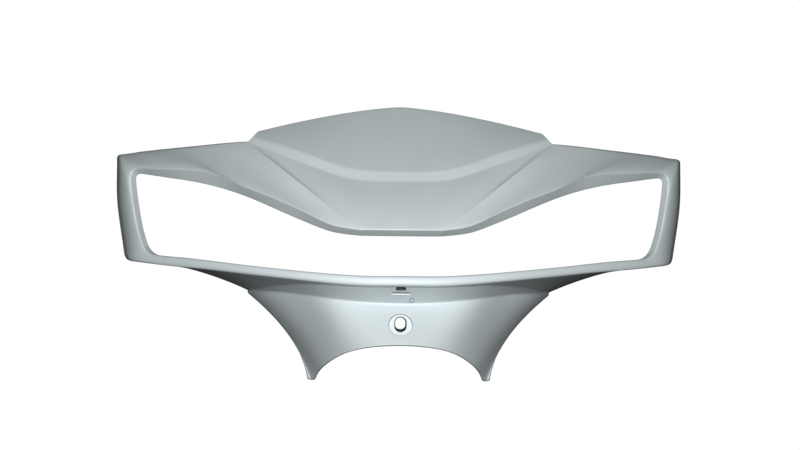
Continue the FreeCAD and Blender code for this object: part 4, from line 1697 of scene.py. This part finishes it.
@dataclass(frozen=True)
class MouldedAbs(Finish):
    """Unpainted ABS as it leaves the mould, behind the shell.

    It gives the eye a dull dark grey with a fine eroded grain and faint streaks where the melt ran. The grey
    is kept dark partly as painted shade, so that the clip slot and the hole's bore read dark.

    Attributes:
        pale: Colour of the lighter streaks.
        deep: Colour between them.
        grain: Size of the mould's eroded grain in millimetres, coarsened from about 0.1 so that it shows.
        streak: Length, width and depth of the streaks in millimetres.
        detail: Layers of finer noise in grain and streaks.
        grain_bump: Strength and height, in millimetres, of the grain's bumps.
    """

    name: str = "injection_moulded_grey_abs"
    # The dark grey is partly painted shade for the clip slot and the hole's bore.
    pale: str = "#434649"
    deep: str = "#383B3E"
    roughness: Pair = (0.52, 0.66)
    grain: float = 0.8
    streak: Triple = (60.0, 18.0, 18.0)
    detail: Pair = (2.0, 4.0)
    grain_bump: Pair = (0.25, 0.08)

    def material(self) -> bpy.types.Material:
        """Make the material.

        Returns:
            The finished material.
        """
        made, place = self.begin()
        tree = made.node_tree
        long = add_node(tree, "ShaderNodeMapping", {"Vector": place,
                                                    "Scale": [1 / (s * MM) for s in self.streak]})
        grain, streak = [
            add_node(tree, "ShaderNodeTexNoise", {"Vector": vector, "Scale": scale,
                                                  "Detail": detail}).outputs["Fac"]
            for vector, scale, detail in zip((place, long.outputs["Vector"]), (1 / (self.grain * MM), 1.0),
                                             self.detail)]
        strength, height = self.grain_bump
        bump = add_node(tree, "ShaderNodeBump", {"Height": grain, "Strength": strength,
                                                 "Distance": height * MM})
        self.dress(made, streak, grain, bump)
        return made


@dataclass(frozen=True)
class Studio:
    """White surround and floor, a soft light just over the camera's line and another behind the part.

    Attributes:
        aim: Lamp coordinates in the middle of the picture.
        width: Width of the picture at the part's middle depth, in millimetres.
        depth: That depth behind the aim.
        away: Distance of the camera from the aim.
        azimuth: Degrees that the camera stands to the right of the front.
        lift: Degrees that it stands above the aim.
        roll: Degrees that it is turned about its axis.
        sight: How far it sees, in metres.
        key_power: Watts of the light in front.
        key_size: Its diameter in metres.
        key_away: Its distance from the aim in metres.
        key_lift: Degrees that it stands above the aim.
        back_power: Watts of the light behind the part, which shows the bare inside.
        back_size: Its diameter in metres.
        back_away: Its distance from the aim in metres.
        back_lift: Degrees that it stands above the aim.
        ambient: Strength of the surround as a light.
        glow: Strength of floor and surround as they are seen, just above white.
        floor_reach: Half the width of the floor in metres.
    """

    aim: Triple = (-1.26, 0.0, 40.7)
    width: float = 590.0
    depth: float = 60.0
    away: float = 9000.0
    azimuth: float = -1.2
    lift: float = 0.0
    roll: float = 0.5
    sight: float = 100.0
    key_power: float = 34.0
    key_size: float = 0.48
    key_away: float = 1.6
    key_lift: float = 6.5
    back_power: float = 260.0
    back_size: float = 0.7
    back_away: float = 4.0
    back_lift: float = 14.0
    ambient: float = 0.03
    glow: float = 1.02
    floor_reach: float = 30.0

    WHITE = (1, 1, 1, 1)
    BLACK = (0, 0, 0, 1)
    BEHIND = 180.0

    @staticmethod
    def toward(azimuth: float, lift: float) -> Vector:
        """Return the direction from the part to a place round it, in degrees from the front."""
        a, e = math.radians(azimuth), math.radians(lift)
        return Vector((math.sin(a) * math.cos(e), -math.cos(a) * math.cos(e), math.sin(e)))

    def build(self, origin: np.ndarray) -> None:
        """Set up the camera, the lights, the floor and the surround.

        Args:
            origin: Lamp coordinates of the part's origin.
        """
        aim = Vector(((vec(*self.aim) - origin) * MM).tolist())
        self.camera(aim)
        self.light("key_softbox", aim, self.toward(self.azimuth, self.key_lift) * self.key_away,
                   self.key_power, self.key_size)
        self.light("back_softbox", aim, self.toward(self.BEHIND, self.back_lift) * self.back_away,
                   self.back_power, self.back_size, False)
        self.floor()
        self.surround()
        bpy.context.scene.view_settings.view_transform = "Standard"

    def camera(self, aim: Vector) -> None:
        """Add the camera.

        Args:
            aim: Point in the middle of its picture.
        """
        data = bpy.data.cameras.new("camera")
        data.lens = data.sensor_width * (self.away + self.depth) / self.width
        data.clip_end = self.sight
        eye = bpy.data.objects.new("camera", data)
        way = self.toward(self.azimuth, self.lift)
        eye.location = aim + way * self.away * MM
        eye.rotation_euler = (-way).to_track_quat("-Z", "Y").to_euler()
        eye.rotation_euler.rotate_axis("Z", math.radians(self.roll))
        bpy.context.scene.collection.objects.link(eye)
        bpy.context.scene.camera = eye

    @staticmethod
    def light(name: str, aim: Vector, offset: Vector, power: float, size: float,
              glints: bool = True) -> None:
        """Add a round soft light.

        Args:
            name: Its name.
            aim: Point that it faces.
            offset: Its place, from there.
            power: Its power in watts.
            size: Its diameter in metres.
            glints: Whether it is mirrored in glossy faces.
        """
        data = bpy.data.lights.new(name, "AREA")
        data.shape, data.size, data.energy = "DISK", size, power
        lamp = bpy.data.objects.new(name, data)
        lamp.location = aim + offset
        lamp.rotation_euler = (-offset).to_track_quat("-Z", "Y").to_euler()
        lamp.visible_camera = False
        lamp.visible_glossy = glints
        bpy.context.scene.collection.objects.link(lamp)

    def floor(self) -> None:
        """Add the white floor, a light table whose even glow hides any other light on it."""
        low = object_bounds()[0].z
        reach = self.floor_reach
        corners = ((-1, -1), (1, -1), (1, 1), (-1, 1))
        made = bpy.data.meshes.new("floor")
        made.from_pydata([(x * reach, y * reach, low) for x, y in corners], [], [(0, 1, 2, 3)])
        table = bpy.data.materials.new("white_light_table")
        table.use_nodes = True
        shader = table.node_tree.nodes["Principled BSDF"]
        for name, value in (("Base Color", self.BLACK), ("Specular IOR Level", 0.0),
                            ("Emission Color", self.WHITE), ("Emission Strength", self.glow)):
            shader.inputs[name].default_value = value
        made.materials.append(table)
        ground = bpy.data.objects.new("floor", made)
        ground.visible_diffuse = ground.visible_glossy = False
        bpy.context.scene.collection.objects.link(ground)
        ground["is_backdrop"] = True

    def surround(self) -> None:
        """Make the surround white to see and dim as a light."""
        world = bpy.data.worlds.new("white_surround")
        bpy.context.scene.world = world
        world.use_nodes = True
        tree = world.node_tree
        dim = tree.nodes["Background"]
        dim.inputs["Strength"].default_value = self.ambient
        dim.inputs["Color"].default_value = self.WHITE
        seen = add_node(tree, "ShaderNodeBackground", {"Color": self.WHITE, "Strength": self.glow})
        path = add_node(tree, "ShaderNodeLightPath")
        mixed = add_node(tree, "ShaderNodeMixShader", {0: path.outputs["Is Camera Ray"],
                                                       1: dim.outputs[0], 2: seen.outputs[0]})
        tree.links.new(mixed.outputs[0], tree.nodes["World Output"].inputs["Surface"])


def main() -> None:
    """Build the cover and its studio."""
    logging.basicConfig(level=logging.INFO, format="%(name)s: %(message)s")
    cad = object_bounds()
    cover = FrontCover()
    cover.build([MetallicPaint().material(), MouldedAbs().material()], cad)
    Studio().build(cover.seat.floor(cover.lines))


if __name__ == "__main__":
    main()
